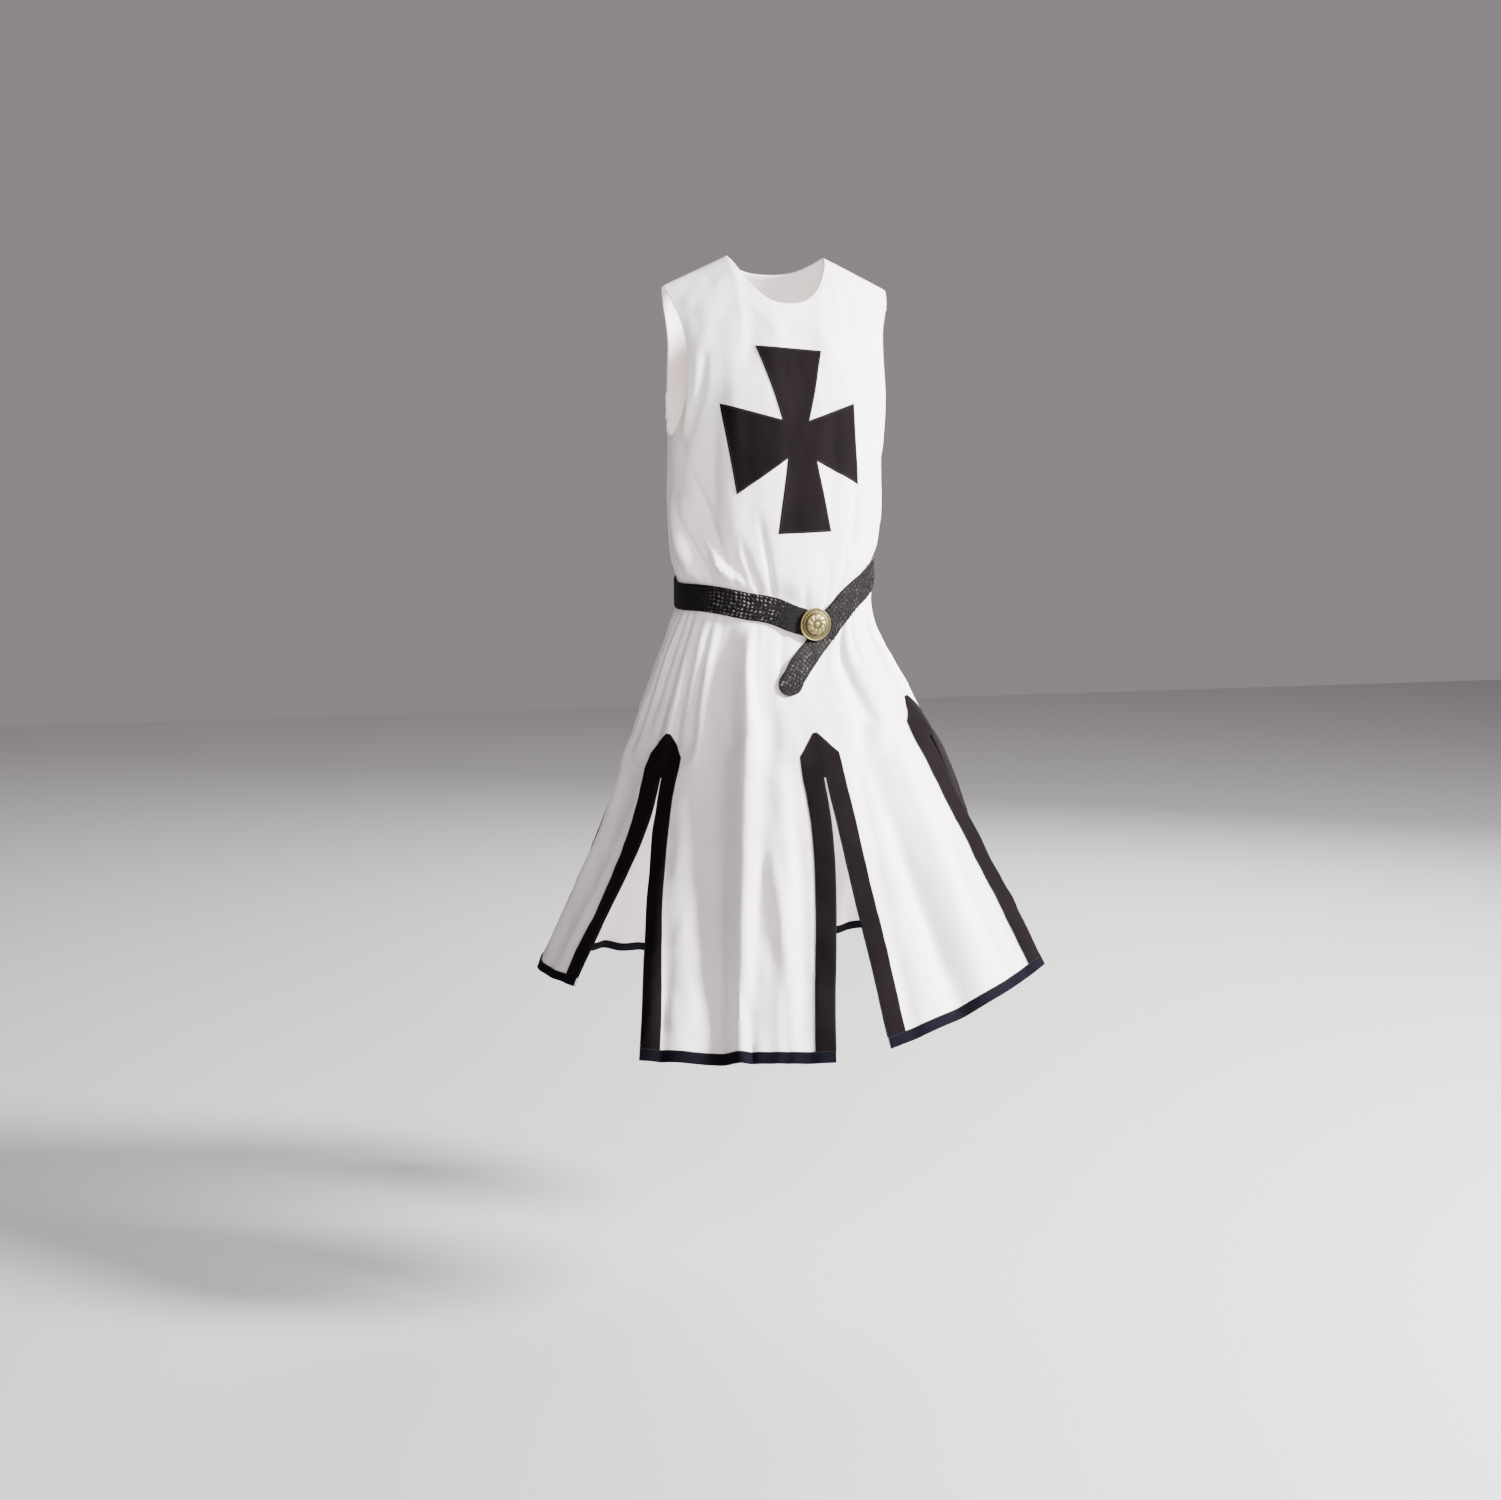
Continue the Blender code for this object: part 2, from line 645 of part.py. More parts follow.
def strap_stations():
    """Run, angle, height and stand-off at even steps along the strap."""
    keys = np.arange(len(STRAP))
    fine = np.linspace(0, len(STRAP) - 1, BELT_READINGS * len(STRAP))
    angle, below, off = (smooth(keys, column(STRAP, name), fine) for name in Strap._fields)
    height = smooth(column(ROUND, "angle"), column(ROUND, "belt"), turned(angle)) - below
    places = [wall_at(a, h) for a, h in zip(angle, height)]
    run = np.cumsum([0] + [(b - a).length for a, b in zip(places, places[1:])])
    steps = np.linspace(0, run[-1], round(run[-1] / BELT_STEP) + 1)
    round_end = BELT_WIDTH * np.array(TIP_STEPS)
    steps = np.concatenate([[0], round_end, steps[1:-1], (run[-1] - round_end)[::-1], [run[-1]]])
    read = [np.interp(steps, run, values) for values in (angle, height, off)]
    return list(zip(steps, *read))


def make_strap(mat):
    """The leather strap, a strip three points wide with a round end at each end."""
    stations = strap_stations()
    total = stations[-1][0]
    shares = (-1, 0, 1)
    low, high = [], []
    for k, (run, angle, height, off) in enumerate(stations):
        before, after = stations[max(k - 1, 0)], stations[min(k + 1, len(stations) - 1)]
        ahead = wall_at(after[1], after[2]) - wall_at(before[1], before[2])
        out = wall_out(angle, height)
        place = wall_at(angle, height)
        side = out.cross(ahead).normalized()
        from_end = min(run, total - run)
        round_part = 1 - min(from_end / (BELT_WIDTH / 2), 1)
        tail = max(1 - (total - run) / TAIL_LENGTH, 0)
        wide = BELT_WIDTH * (1 - TAIL_TAPER * tail)
        half = max(wide / 2 * math.sqrt(1 - round_part * round_part), TIP_HALF)
        per_degree = (wall_at(angle + 1, height) - wall_at(angle - 1, height)).length / 2
        for share in shares:
            turn = side.dot(wall_at(angle + 1, height) - place) / per_degree ** 2
            at = (angle + turn * half * share, height + side.z * half * share)
            base, way = wall_at(*at), wall_out(*at)
            low.append(base + way * off)
            high.append(base + way * (off + BELT_THICKNESS))
    count = len(shares)
    faces = [(i * count + j, (i + 1) * count + j, (i + 1) * count + j + 1, i * count + j + 1)
             for i in range(len(stations) - 1) for j in range(count - 1)]
    strap = shell("belt_strap", np.array(low), np.array(high), faces, mat)
    face_out(strap.data)


def make_buckle(mat):
    """The domed brass buckle, turned about its own axis and seated on the strap's end."""
    out = wall_out(BUCKLE_ANGLE, BUCKLE_HEIGHT)
    seat = STRAP[0].off + BELT_THICKNESS + GAP
    bm = bmesh.new()
    turns = [2 * math.pi * k / BUCKLE_SIDES for k in range(BUCKLE_SIDES)]
    rings = [[bm.verts.new((t.radius * math.cos(a), t.radius * math.sin(a), t.height))
              for a in turns] for t in BUCKLE]
    top = bm.verts.new((0, 0, BUCKLE_TOP))
    for here, there in zip(rings, rings[1:]):
        for k in range(BUCKLE_SIDES):
            n = (k + 1) % BUCKLE_SIDES
            bm.faces.new((here[k], here[n], there[n], there[k]))
    for k in range(BUCKLE_SIDES):
        bm.faces.new((rings[-1][k], rings[-1][(k + 1) % BUCKLE_SIDES], top))
    bm.faces.new(tuple(reversed(rings[0])))
    mesh = bpy.data.meshes.new("belt_buckle")
    bm.to_mesh(mesh)
    bm.free()
    mesh.materials.append(mat)
    mesh.shade_smooth()
    mesh.set_sharp_from_angle(angle=math.radians(35))
    buckle = bpy.data.objects.new("belt_buckle", mesh)
    bpy.context.scene.collection.objects.link(buckle)
    buckle.location = wall_at(BUCKLE_ANGLE, BUCKLE_HEIGHT) + out * seat
    buckle.rotation_euler = out.to_track_quat("Z", "Y").to_euler()


def main():
    for obj in list(bpy.data.objects):
        bpy.data.objects.remove(obj)
    cotton = material("white_cotton", (0.88, 0.85, 0.83), 0.9)
    black = material("black_cotton", (0.02, 0.014, 0.015), 0.9)
    navy = material("navy_band", (0.01, 0.009, 0.02), 0.85)
    leather = material("embossed_leather", (0.06, 0.055, 0.05), 0.5)
    brass = material("aged_brass", (0.25, 0.21, 0.12), 0.45, metallic=0.9)
    lengths = garment()
    make_lengths(lengths, cotton)
    make_trims(lengths, black)
    make_bands(lengths, navy)
    make_cross(lengths, black)
    make_strap(leather)
    make_buckle(brass)


main()
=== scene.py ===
"""A medieval tabard: white cotton, black cross and trims, embossed belt with a brass buckle.

The tabard stands in its worn shape, with its chest facing -Y, so that its left side is +X.
Sizes are in metres unless a name says otherwise.
"""

import math
from collections import namedtuple

import bmesh
import bpy
import numpy as np
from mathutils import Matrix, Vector, noise
from mathutils.bvhtree import BVHTree
from mathutils.kdtree import KDTree


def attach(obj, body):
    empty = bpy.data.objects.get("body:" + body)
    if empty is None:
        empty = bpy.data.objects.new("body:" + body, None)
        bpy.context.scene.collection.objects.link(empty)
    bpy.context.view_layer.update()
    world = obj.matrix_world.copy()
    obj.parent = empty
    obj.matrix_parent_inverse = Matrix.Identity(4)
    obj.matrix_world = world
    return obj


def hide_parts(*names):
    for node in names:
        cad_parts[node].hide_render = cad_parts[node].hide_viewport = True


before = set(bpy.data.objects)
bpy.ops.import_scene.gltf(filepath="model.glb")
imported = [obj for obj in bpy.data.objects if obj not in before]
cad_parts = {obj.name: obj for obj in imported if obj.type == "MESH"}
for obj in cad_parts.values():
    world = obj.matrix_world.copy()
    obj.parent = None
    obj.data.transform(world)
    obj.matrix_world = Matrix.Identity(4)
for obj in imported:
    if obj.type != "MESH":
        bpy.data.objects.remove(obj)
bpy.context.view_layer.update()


# Front and back: two lengths of thick plain-woven white cotton, seamed at the shoulders and
# down the sides, with six slits cut up from the hem.  The neck and the armholes have their
# edges turned in.  The belt gathers both lengths, and creases run up and down from it.
WALL = 0.0015
GAP = 0.0003
SHOULDER_HALF = 0.172
SHOULDER_FALL = 0.045
SHOULDER_ROUND = 0.22
SHOULDER_CURVE = 1.6
NECK_HALF = 0.075
NECK_DROP = {"front": 0.072, "back": 0.024}
NECK_CURVE = 2.6
ARMPIT = -0.262
TRIM_WIDTH = 0.028
TRIM_POINT = 0.030
SLIT_BELOW_POINT = 0.062
SLIT_START = 0.004
BAND_WIDTH = 0.014
SKIRT_LENGTH = 0.37
BELT_SEAT = 0.0215
LEAN_STEP = 2
RIGHT_SEAM = 270
LEFT_SEAM = 90
SHARP = 50
TINY = 1e-6

# The lines that run round the wall.  A point's level says between which two it lies;
# above the underarm it is the share of the way up to the shoulder seam, below zero.
UNDERARM, BELT_TOP, BELT_BOTTOM, POINT, CORNER, CUT, HEM = range(7)

# The armhole's edge by the share of the way up: how far it stands from the middle, and how
# far past it the chest's and back's curve would run on.
Armhole = namedtuple("Armhole", "rise half_width reach")
ARMHOLE = [
    Armhole(0.00, 0.161, 1.00),
    Armhole(0.12, 0.157, 1.05),
    Armhole(0.35, 0.151, 1.19),
    Armhole(0.65, 0.152, 1.24),
    Armhole(1.00, 0.172, 1.24),
]

# Height of the belt's middle and of the slit points, by the angle round the tabard:
# 0 is the middle of the front, 90 the left side, 180 the back, 270 the right side.
Round = namedtuple("Round", "angle belt point")
ROUND = [
    Round(-90, -0.498, -0.692),
    Round(-44, -0.502, -0.694),
    Round(-28, -0.509, -0.694),
    Round(-10, -0.518, -0.692),
    Round(2, -0.533, -0.688),
    Round(10, -0.541, -0.685),
    Round(16, -0.541, -0.679),
    Round(22, -0.530, -0.673),
    Round(33, -0.505, -0.663),
    Round(51, -0.482, -0.649),
    Round(72, -0.463, -0.642),
    Round(90, -0.452, -0.643),
    Round(135, -0.455, -0.660),
    Round(180, -0.465, -0.678),
    Round(225, -0.480, -0.690),
    Round(270, -0.498, -0.692),
]

# Rings of the cloth below the armholes: half width, depth to the front and to the back,
# roundness (2 is an ellipse) and how far the middle stands to the left.
Ring = namedtuple("Ring", "level half_width front back roundness middle")
RINGS = [
    Ring(0.00, 0.161, 0.115, 0.115, 2.2, 0.000),
    Ring(0.45, 0.162, 0.117, 0.112, 2.2, 0.000),
    Ring(0.75, 0.159, 0.116, 0.107, 2.2, 0.000),
    Ring(0.90, 0.156, 0.114, 0.105, 2.2, 0.000),
    Ring(1.00, 0.149, 0.105, 0.098, 2.2, 0.000),
    Ring(2.00, 0.149, 0.105, 0.098, 2.2, 0.000),
    Ring(2.12, 0.153, 0.112, 0.105, 2.15, -0.005),
    Ring(2.35, 0.165, 0.128, 0.119, 2.1, -0.010),
    Ring(2.65, 0.187, 0.153, 0.139, 2.05, -0.009),
    Ring(3.00, 0.214, 0.182, 0.161, 2.0, -0.003),
    Ring(4.00, 0.227, 0.196, 0.172, 2.0, 0.000),
    Ring(5.00, 0.240, 0.209, 0.182, 2.0, 0.003),
]
WAIST = RINGS[4]

# Skirt panels between two slits, with the two lower corners and the hem's bow.
Panel = namedtuple("Panel", "name start end first_corner last_corner bow")
PANELS = [
    Panel("side_right", 240, 299, (-0.270, 0.250, -1.070), (-0.311, 0.008, -1.080), 0.050),
    Panel("front_right", -61, 1.9, (-0.289, -0.298, -1.120), (-0.032, -0.388, -1.120), 0.012),
    Panel("front_left", 1.9, 57, (0.038, -0.413, -1.100), (0.3145, -0.3053, -1.021), 0.020),
    Panel("side_left", 57, 120, (0.345, -0.090, -1.040), (0.290, 0.200, -1.040), 0.040),
    Panel("back_left", 120, 180, (0.270, 0.310, -1.080), (0.010, 0.385, -1.120), 0.020),
    Panel("back_right", 180, 240, (-0.010, 0.385, -1.120), (-0.265, 0.310, -1.085), 0.020),
]
PANEL = {panel.name: panel for panel in PANELS}

# Folds and creases, from one place on the wall to another: a soft ridge (+) or trough (-).
# The first group are the large folds, the others the finer ones that lie over them.
# Toward its two ends a fold fades: bluntly where it is wider than CREASE_WIDTH, and with a
# longer taper where it is narrower.
Fold = namedtuple("Fold", "name start_level end_level start_angle end_angle width depth")
FOLD_FADE, CREASE_FADE = 0.7, 1.15
CREASE_WIDTH = 4.2
FOLDS = [
    Fold("chest_trough", -0.45, 1.00, -49, -48, 9, -0.006),
    Fold("side_pouch", 0.40, 1.00, -72, -66, 8, 0.009),
    Fold("under_arm", 0.05, 1.00, 58, 44, 8, -0.004),
    Fold("front_ridge", 2.00, 6.30, -23, -26, 5.5, 0.015),
    Fold("front_valley", 1.90, 6.60, -37, -37, 7, -0.023),
    Fold("front_trough", 2.00, 6.20, -14, -21, 5, -0.009),
    Fold("slit_ridge", 3.50, 6.40, -15, -14, 5, 0.007),
    Fold("slit_trough", 4.00, 6.40, -9, -7, 5, -0.007),
    Fold("left_crease", 2.00, 5.20, 28, 18, 4.5, -0.011),
    Fold("left_hip", 2.00, 3.60, 52, 50, 6, -0.007),
    Fold("left_hem", 4.70, 6.50, 21, 25, 5, -0.013),
    Fold("left_edge", 2.80, 6.15, 45, 46, 6, -0.013),
    Fold("left_edge_out", 3.40, 6.20, 59, 59, 4, 0.006),
    Fold("right_hip", 2.00, 4.60, -70, -72, 6, -0.007),
    Fold("side_right_hem", 4.80, 6.50, 281, 280, 7, -0.008),
    Fold("side_right_back", 2.00, 6.40, 256, 254, 7, -0.009),
    Fold("side_left_front", 2.00, 6.30, 76, 74, 6, -0.008),
    Fold("side_left_back", 4.40, 6.50, 103, 101, 7, -0.009),
    Fold("back_pouch", 0.30, 1.00, 168, 172, 16, 0.006),
    Fold("back_crease", -0.50, 1.00, 214, 206, 9, -0.006),
    Fold("back_fold_left", 2.00, 6.40, 142, 144, 7, -0.011),
    Fold("back_ridge_left", 2.00, 6.40, 154, 157, 6, 0.009),
    Fold("back_fold_middle", 2.00, 6.30, 170, 168, 6, -0.007),
    Fold("back_ridge_right", 2.00, 6.30, 196, 197, 6, 0.010),
    Fold("back_fold_right", 2.00, 6.50, 208, 211, 7, -0.012),
    Fold("back_hem", 5.10, 6.50, 226, 226, 5, -0.007),
    # Chest and waist.
    Fold("chest_soft", -0.55, 0.15, -57, -68, 5, -0.0050),
    Fold("chest_middle", -0.25, 0.60, -45, -46, 4.5, -0.0043),
    Fold("chest_hollow", 0.10, 0.95, -60, -42, 10, -0.0051),
    Fold("waist_roll_out", 0.40, 1.01, -84, -60, 4.5, 0.0095),
    Fold("waist_roll_in", 0.58, 1.01, -58, -36, 3.6, 0.0080),
    Fold("waist_lap", 0.80, 1.02, -52, -20, 6, 0.0075),
    Fold("waist_drag_a", 0.20, 1.02, -66, -29, 2.6, -0.0070),
    Fold("waist_drag_b", 0.46, 1.03, -76, -47, 2.2, -0.0060),
    Fold("waist_drag_c", 0.64, 1.03, -40, -24, 2.0, -0.0050),
    Fold("waist_pinch_a", 0.45, 1.20, -19.5, -8.5, 2.0, -0.0055),
    Fold("waist_pinch_b", 0.66, 1.20, -29.5, -13, 2.0, -0.0055),
    Fold("waist_pinch_c", 0.62, 1.15, -33, -33.4, 2.0, -0.0032),
    Fold("waist_pinch_d", 0.80, 1.25, 3, 6, 1.7, -0.0029),
    Fold("waist_pinch_e", 0.70, 1.20, 17, 15.5, 1.9, -0.0032),
    Fold("waist_pinch_f", 0.58, 1.20, 29, 24, 2.1, -0.0038),
    Fold("waist_soft_left", 0.20, 0.95, 34.5, 32.5, 4, -0.0046),
    Fold("waist_pinch_g", 0.76, 1.20, 39, 37.5, 1.8, -0.0032),
    Fold("waist_roll_left", 0.40, 1.00, 66, 51, 4.5, 0.0065),
    Fold("waist_pinch_h", 0.66, 1.15, 58, 56, 2.2, -0.0038),
    Fold("waist_pinch_i", 0.80, 1.20, 72, 70, 1.9, -0.0032),
    Fold("neck_to_arm", -0.86, -0.36, 7, 24, 4, 0.0043),
    Fold("neck_drag_right", -0.80, -0.30, -14, -30, 5, -0.0038),
    Fold("arm_drag_right", -0.30, 0.20, -80, -60, 5, 0.0043),
    Fold("arm_drag_left", -0.32, 0.25, 82, 62, 5, 0.0046),
    Fold("chest_long_left", -0.20, 0.80, 20, 14, 5, -0.0026),
    Fold("waist_pinch_j", 0.76, 1.20, -69, -67, 1.9, -0.0038),
    Fold("waist_pinch_k", 0.84, 1.20, -79, -76, 1.7, -0.0032),
    Fold("waist_pinch_l", 0.78, 1.20, -58, -56, 1.8, -0.0035),
    # Front of the skirt, from the belt down.
    Fold("pleat_a", 1.70, 3.80, -66, -69, 2.0, -0.0080),
    Fold("pleat_b", 1.70, 3.20, -74, -78, 2.0, -0.0070),
    Fold("pleat_c", 1.65, 4.60, -57, -58, 2.2, -0.0065),
    Fold("pleat_d", 1.70, 4.20, -49, -50, 2.4, -0.0065),
    Fold("pleat_e", 1.75, 4.90, -42, -41, 2.4, -0.0065),
    Fold("pleat_f", 1.75, 3.30, -20, -19, 1.8, -0.0055),
    Fold("pleat_g", 1.80, 2.80, -5, -6, 2.0, -0.0045),
    Fold("pleat_h", 1.75, 3.60, 27.5, 30, 2.4, -0.0065),
    Fold("pleat_i", 1.75, 2.80, 37, 38.5, 1.8, -0.0035),
    Fold("pleat_j", 1.75, 2.60, 45, 46, 1.7, -0.0035),
    Fold("pleat_k", 1.75, 3.20, 58, 53.5, 2.2, -0.0049),
    Fold("pleat_l", 1.75, 2.70, 66, 68, 1.9, -0.0038),
    Fold("pleat_m", 1.75, 3.10, 84, 86, 2.0, -0.0041),
    Fold("valley_top", 2.20, 3.70, -31, -30, 3, -0.0065),
    Fold("valley_foot", 5.00, 6.35, -36, -33.5, 3.0, -0.0100),
    Fold("valley_side", 4.20, 5.60, -45, -43, 4, -0.0051),
    Fold("shade_dip", 2.20, 5.60, -54, -56, 7, -0.0090),
    Fold("shade_crest", 2.10, 5.90, -25, -26, 4, 0.0050),
    Fold("ridge_top", 1.95, 3.30, -24, -20, 3, 0.0043),
    Fold("ridge_foot", 4.90, 6.30, -27, -30, 3.0, 0.0080),
    Fold("trough_foot", 5.00, 6.15, -20.5, -26, 2.2, -0.0065),
    Fold("cross_ridge", 5.05, 5.80, -21, -12.5, 2.2, 0.0061),
    Fold("slit_crease", 4.90, 5.95, -11, -8, 1.8, -0.0046),
    Fold("hem_crease_a", 5.60, 6.20, -28, -23, 1.6, -0.0052),
    Fold("hem_crease_b", 5.70, 6.25, -15, -13, 1.6, -0.0043),
    Fold("hem_crease_c", 5.55, 6.30, -52, -55, 2.2, -0.0049),
    Fold("edge_wave", 5.00, 6.10, -56, -57, 2.6, 0.0043),
    Fold("left_crease_a", 4.70, 5.65, 16.5, 10.5, 2.5, -0.0049),
    Fold("left_crease_b", 5.05, 6.20, 21.5, 26, 2.4, -0.0085),
    Fold("left_crease_c", 4.80, 6.10, 40.5, 43.5, 2.6, -0.0080),
    Fold("left_crease_d", 5.45, 6.20, 11, 9, 2.0, -0.0046),
    Fold("left_swell", 4.70, 6.25, 33, 34, 4.5, 0.0085),
    Fold("left_crease_e", 5.65, 6.30, 49, 50, 2.0, -0.0049),
    Fold("left_crease_f", 2.60, 4.60, 43, 41, 3, -0.0038),
    # Sides of the skirt.
    Fold("right_side_a", 1.75, 4.20, -83, -85, 2.4, -0.0058),
    Fold("right_side_b", 5.10, 6.30, 290, 291, 3, -0.0072),
    Fold("right_side_c", 3.20, 6.20, 271, 273, 4, 0.0072),
    Fold("right_side_d", 5.20, 6.30, 266, 264, 2.4, -0.0058),
    Fold("right_side_e", 1.75, 3.60, 262, 264, 2.2, -0.0052),
    Fold("right_side_f", 5.00, 6.30, 247, 246, 3, 0.0058),
    Fold("left_side_a", 4.70, 6.20, 66, 64, 3, 0.0067),
    Fold("left_side_b", 5.30, 6.30, 82, 84, 2.4, -0.0061),
    Fold("left_side_c", 1.75, 4.00, 96, 99, 2.4, -0.0055),
    Fold("left_side_d", 3.40, 6.20, 91, 92, 4, 0.0067),
    Fold("left_side_e", 5.20, 6.30, 111, 112, 2.6, -0.0055),
    # Back, from the shoulders down.
    Fold("blade_left", -0.75, 0.10, 152, 140, 7, 0.0051),
    Fold("blade_right", -0.72, 0.15, 207, 222, 7, 0.0051),
    Fold("spine", -0.60, 0.90, 181, 178, 5, -0.0043),
    Fold("back_drag_left", -0.20, 0.85, 118, 136, 4, -0.0049),
    Fold("back_drag_right", -0.15, 0.80, 244, 228, 4, -0.0049),
    Fold("back_pinch_a", 0.70, 1.20, 101, 104, 2.0, -0.0038),
    Fold("back_pinch_b", 0.60, 1.20, 121, 124, 2.0, -0.0041),
    Fold("back_pinch_c", 0.76, 1.20, 137, 138, 1.8, -0.0035),
    Fold("back_pinch_d", 0.55, 1.20, 151, 154, 2.1, -0.0041),
    Fold("back_pinch_e", 0.74, 1.20, 166, 166, 1.8, -0.0035),
    Fold("back_pinch_f", 0.64, 1.20, 187, 184, 2.0, -0.0041),
    Fold("back_pinch_g", 0.78, 1.20, 199, 199, 1.8, -0.0032),
    Fold("back_pinch_h", 0.56, 1.20, 219, 215, 2.2, -0.0043),
    Fold("back_pinch_i", 0.74, 1.20, 236, 235, 1.8, -0.0035),
    Fold("back_pinch_j", 0.66, 1.20, 254, 251, 2.1, -0.0041),
    Fold("back_pleat_a", 1.75, 3.00, 108, 107, 2.0, -0.0043),
    Fold("back_pleat_b", 1.75, 3.80, 128, 130, 2.2, -0.0052),
    Fold("back_pleat_c", 1.75, 2.80, 149, 149, 1.8, -0.0038),
    Fold("back_pleat_d", 1.75, 3.40, 163, 163, 2.0, -0.0046),
    Fold("back_pleat_e", 1.75, 2.70, 179, 179, 1.9, -0.0035),
    Fold("back_pleat_f", 1.75, 3.30, 189, 188, 2.0, -0.0043),
    Fold("back_pleat_g", 1.75, 2.70, 203, 203, 1.8, -0.0038),
    Fold("back_pleat_h", 1.75, 3.60, 221, 223, 2.2, -0.0052),
    Fold("back_pleat_i", 1.75, 2.90, 240, 241, 2.0, -0.0041),
    Fold("back_foot_a", 5.00, 6.30, 134, 133, 3, -0.0072),
    Fold("back_foot_b", 4.90, 6.20, 150, 149, 3, 0.0058),
    Fold("back_foot_c", 5.30, 6.30, 163, 161, 2.4, -0.0058),
    Fold("back_foot_d", 5.10, 6.30, 174, 173, 3, 0.0058),
    Fold("back_foot_e", 5.00, 6.30, 187, 189, 3, -0.0064),
    Fold("back_foot_f", 5.35, 6.30, 201, 202, 2.4, -0.0055),
    Fold("back_foot_g", 4.90, 6.20, 218, 219, 3.5, 0.0067),
    Fold("back_foot_h", 5.20, 6.30, 233, 234, 2.6, -0.0052),
]

# Uneven waves of the hanging cloth, finer ripples over them, and the pucker along the trims'
# inner edges.  Near the shoulder seam they all fade, and so do the folds.
WAVE_LONG, WAVE_WIDE = 0.190, 0.045
WAVE_DEPTH = 0.0032
RIPPLE_LONG, RIPPLE_WIDE = 0.050, 0.018
RIPPLE_DEPTH = 0.0013
PUCKER_LONG = 0.017
PUCKER_DEPTH = 0.0006
PUCKER_REACH, PUCKER_LEAST = 0.35, 0.05
PUCKER_SEED = 3
SHOULDER_CALM = 0.9

# How firmly the strap and then its hanging tail hold the cloth down, from 0 to 1, and the
# tail's line down the front.
Hold = namedtuple("Hold", "level share")
BELT_HOLDS = [Hold(0.93, 0), Hold(1.00, 1), Hold(2.00, 1), Hold(2.12, 0)]
TAIL_HOLDS = [Hold(2.90, 1), Hold(3.10, 0)]
TAIL_LINE = [(2.0, 13), (2.4, 4), (2.8, -6)]
TAIL_HALF = 11

# Rows and columns of points, closer where the wall bends or an edge lies.  Across a panel,
# 0 and FAR_EDGE are its two edges, 1 and 2 the inner edges of its trim strips.
FAR_EDGE = 3
BAND_LINE = HEM - BAND_WIDTH / SKIRT_LENGTH
TOP_ROWS = 54
UNDERARM_ROWS = [-0.020, -0.012, -0.006, -0.0025, -0.0008]
ROW_COUNTS = [44, 8, 26, 7, 7, 66]
BAND_ROWS = [BAND_LINE, BAND_LINE + 0.003, 5.978, 5.990, HEM]
STRIP_COLUMNS = [0, 0.04, 0.18, 0.42, 0.66, 0.86, 0.97, 1]
COLUMN_STEP = 1.25
SEAM_REACH = 0.004

# The cloth is thicker and rounded where the neck's and armholes' edges are turned in.  At a
# seam its outer face dips, and the inner one follows by the share SEAM_INSIDE.
TURNED_EDGE = 0.009
TURNED_WALL = 0.0011
EDGE_ROUND = 0.0005
EDGE_STEP = 0.0015
SEAM_DIP, SEAM_WIDE, SEAM_INSIDE = 0.0011, 0.0025, 0.6


def smooth(keys, values, at):
    """Read a cubic curve through the values at the keys."""
    keys = np.asarray(keys, float)
    values = np.asarray(values, float)
    at = np.clip(at, keys[0], keys[-1])
    slopes = np.gradient(values, keys)
    i = np.clip(np.searchsorted(keys, at) - 1, 0, len(keys) - 2)
    span = keys[i + 1] - keys[i]
    s = (at - keys[i]) / span
    return (
        values[i] * (1 + 2 * s) * (1 - s) ** 2
        + values[i + 1] * s * s * (3 - 2 * s)
        + span * s * (1 - s) * (slopes[i] * (1 - s) - slopes[i + 1] * s)
    )


def column(table, name):
    return [getattr(row, name) for row in table]


def unit(vectors):
    return vectors / np.linalg.norm(vectors, axis=-1, keepdims=True)


def flat(array):
    return array.reshape(-1, array.shape[-1])


def turned(angle):
    """The same direction as an angle from -90 up to 270."""
    return (np.asarray(angle, float) + 90) % 360 - 90


def round_height(name, angle):
    """The height of the belt's middle, or of the slit points, at each angle."""
    return smooth(column(ROUND, "angle"), column(ROUND, name), angle)


def line_heights(angle):
    """Heights of the lines from the underarm to the slits' start, a row for each line."""
    angle = turned(angle)
    belt = round_height("belt", angle)
    point = round_height("point", angle)
    ahead = round_height("belt", angle + LEAN_STEP)
    arc = math.radians(LEAN_STEP) * WAIST.half_width
    seat = BELT_SEAT * np.sqrt(1 + ((ahead - belt) / arc) ** 2)
    return np.stack([
        ARMPIT + 0 * belt,
        belt + seat,
        belt - seat,
        point,
        point - TRIM_POINT,
        point - SLIT_BELOW_POINT,
    ])


def signed_power(value, power):
    return np.sign(value) * np.abs(value) ** power


def ring_sizes(level):
    """Sizes of the ring at each level: curved from ring to ring, and straight below the points."""
    keys = column(RINGS, "level")
    return {name: np.where(level < POINT, smooth(keys, column(RINGS, name), level),
                           np.interp(level, keys, column(RINGS, name)))
            for name in Ring._fields[1:]}


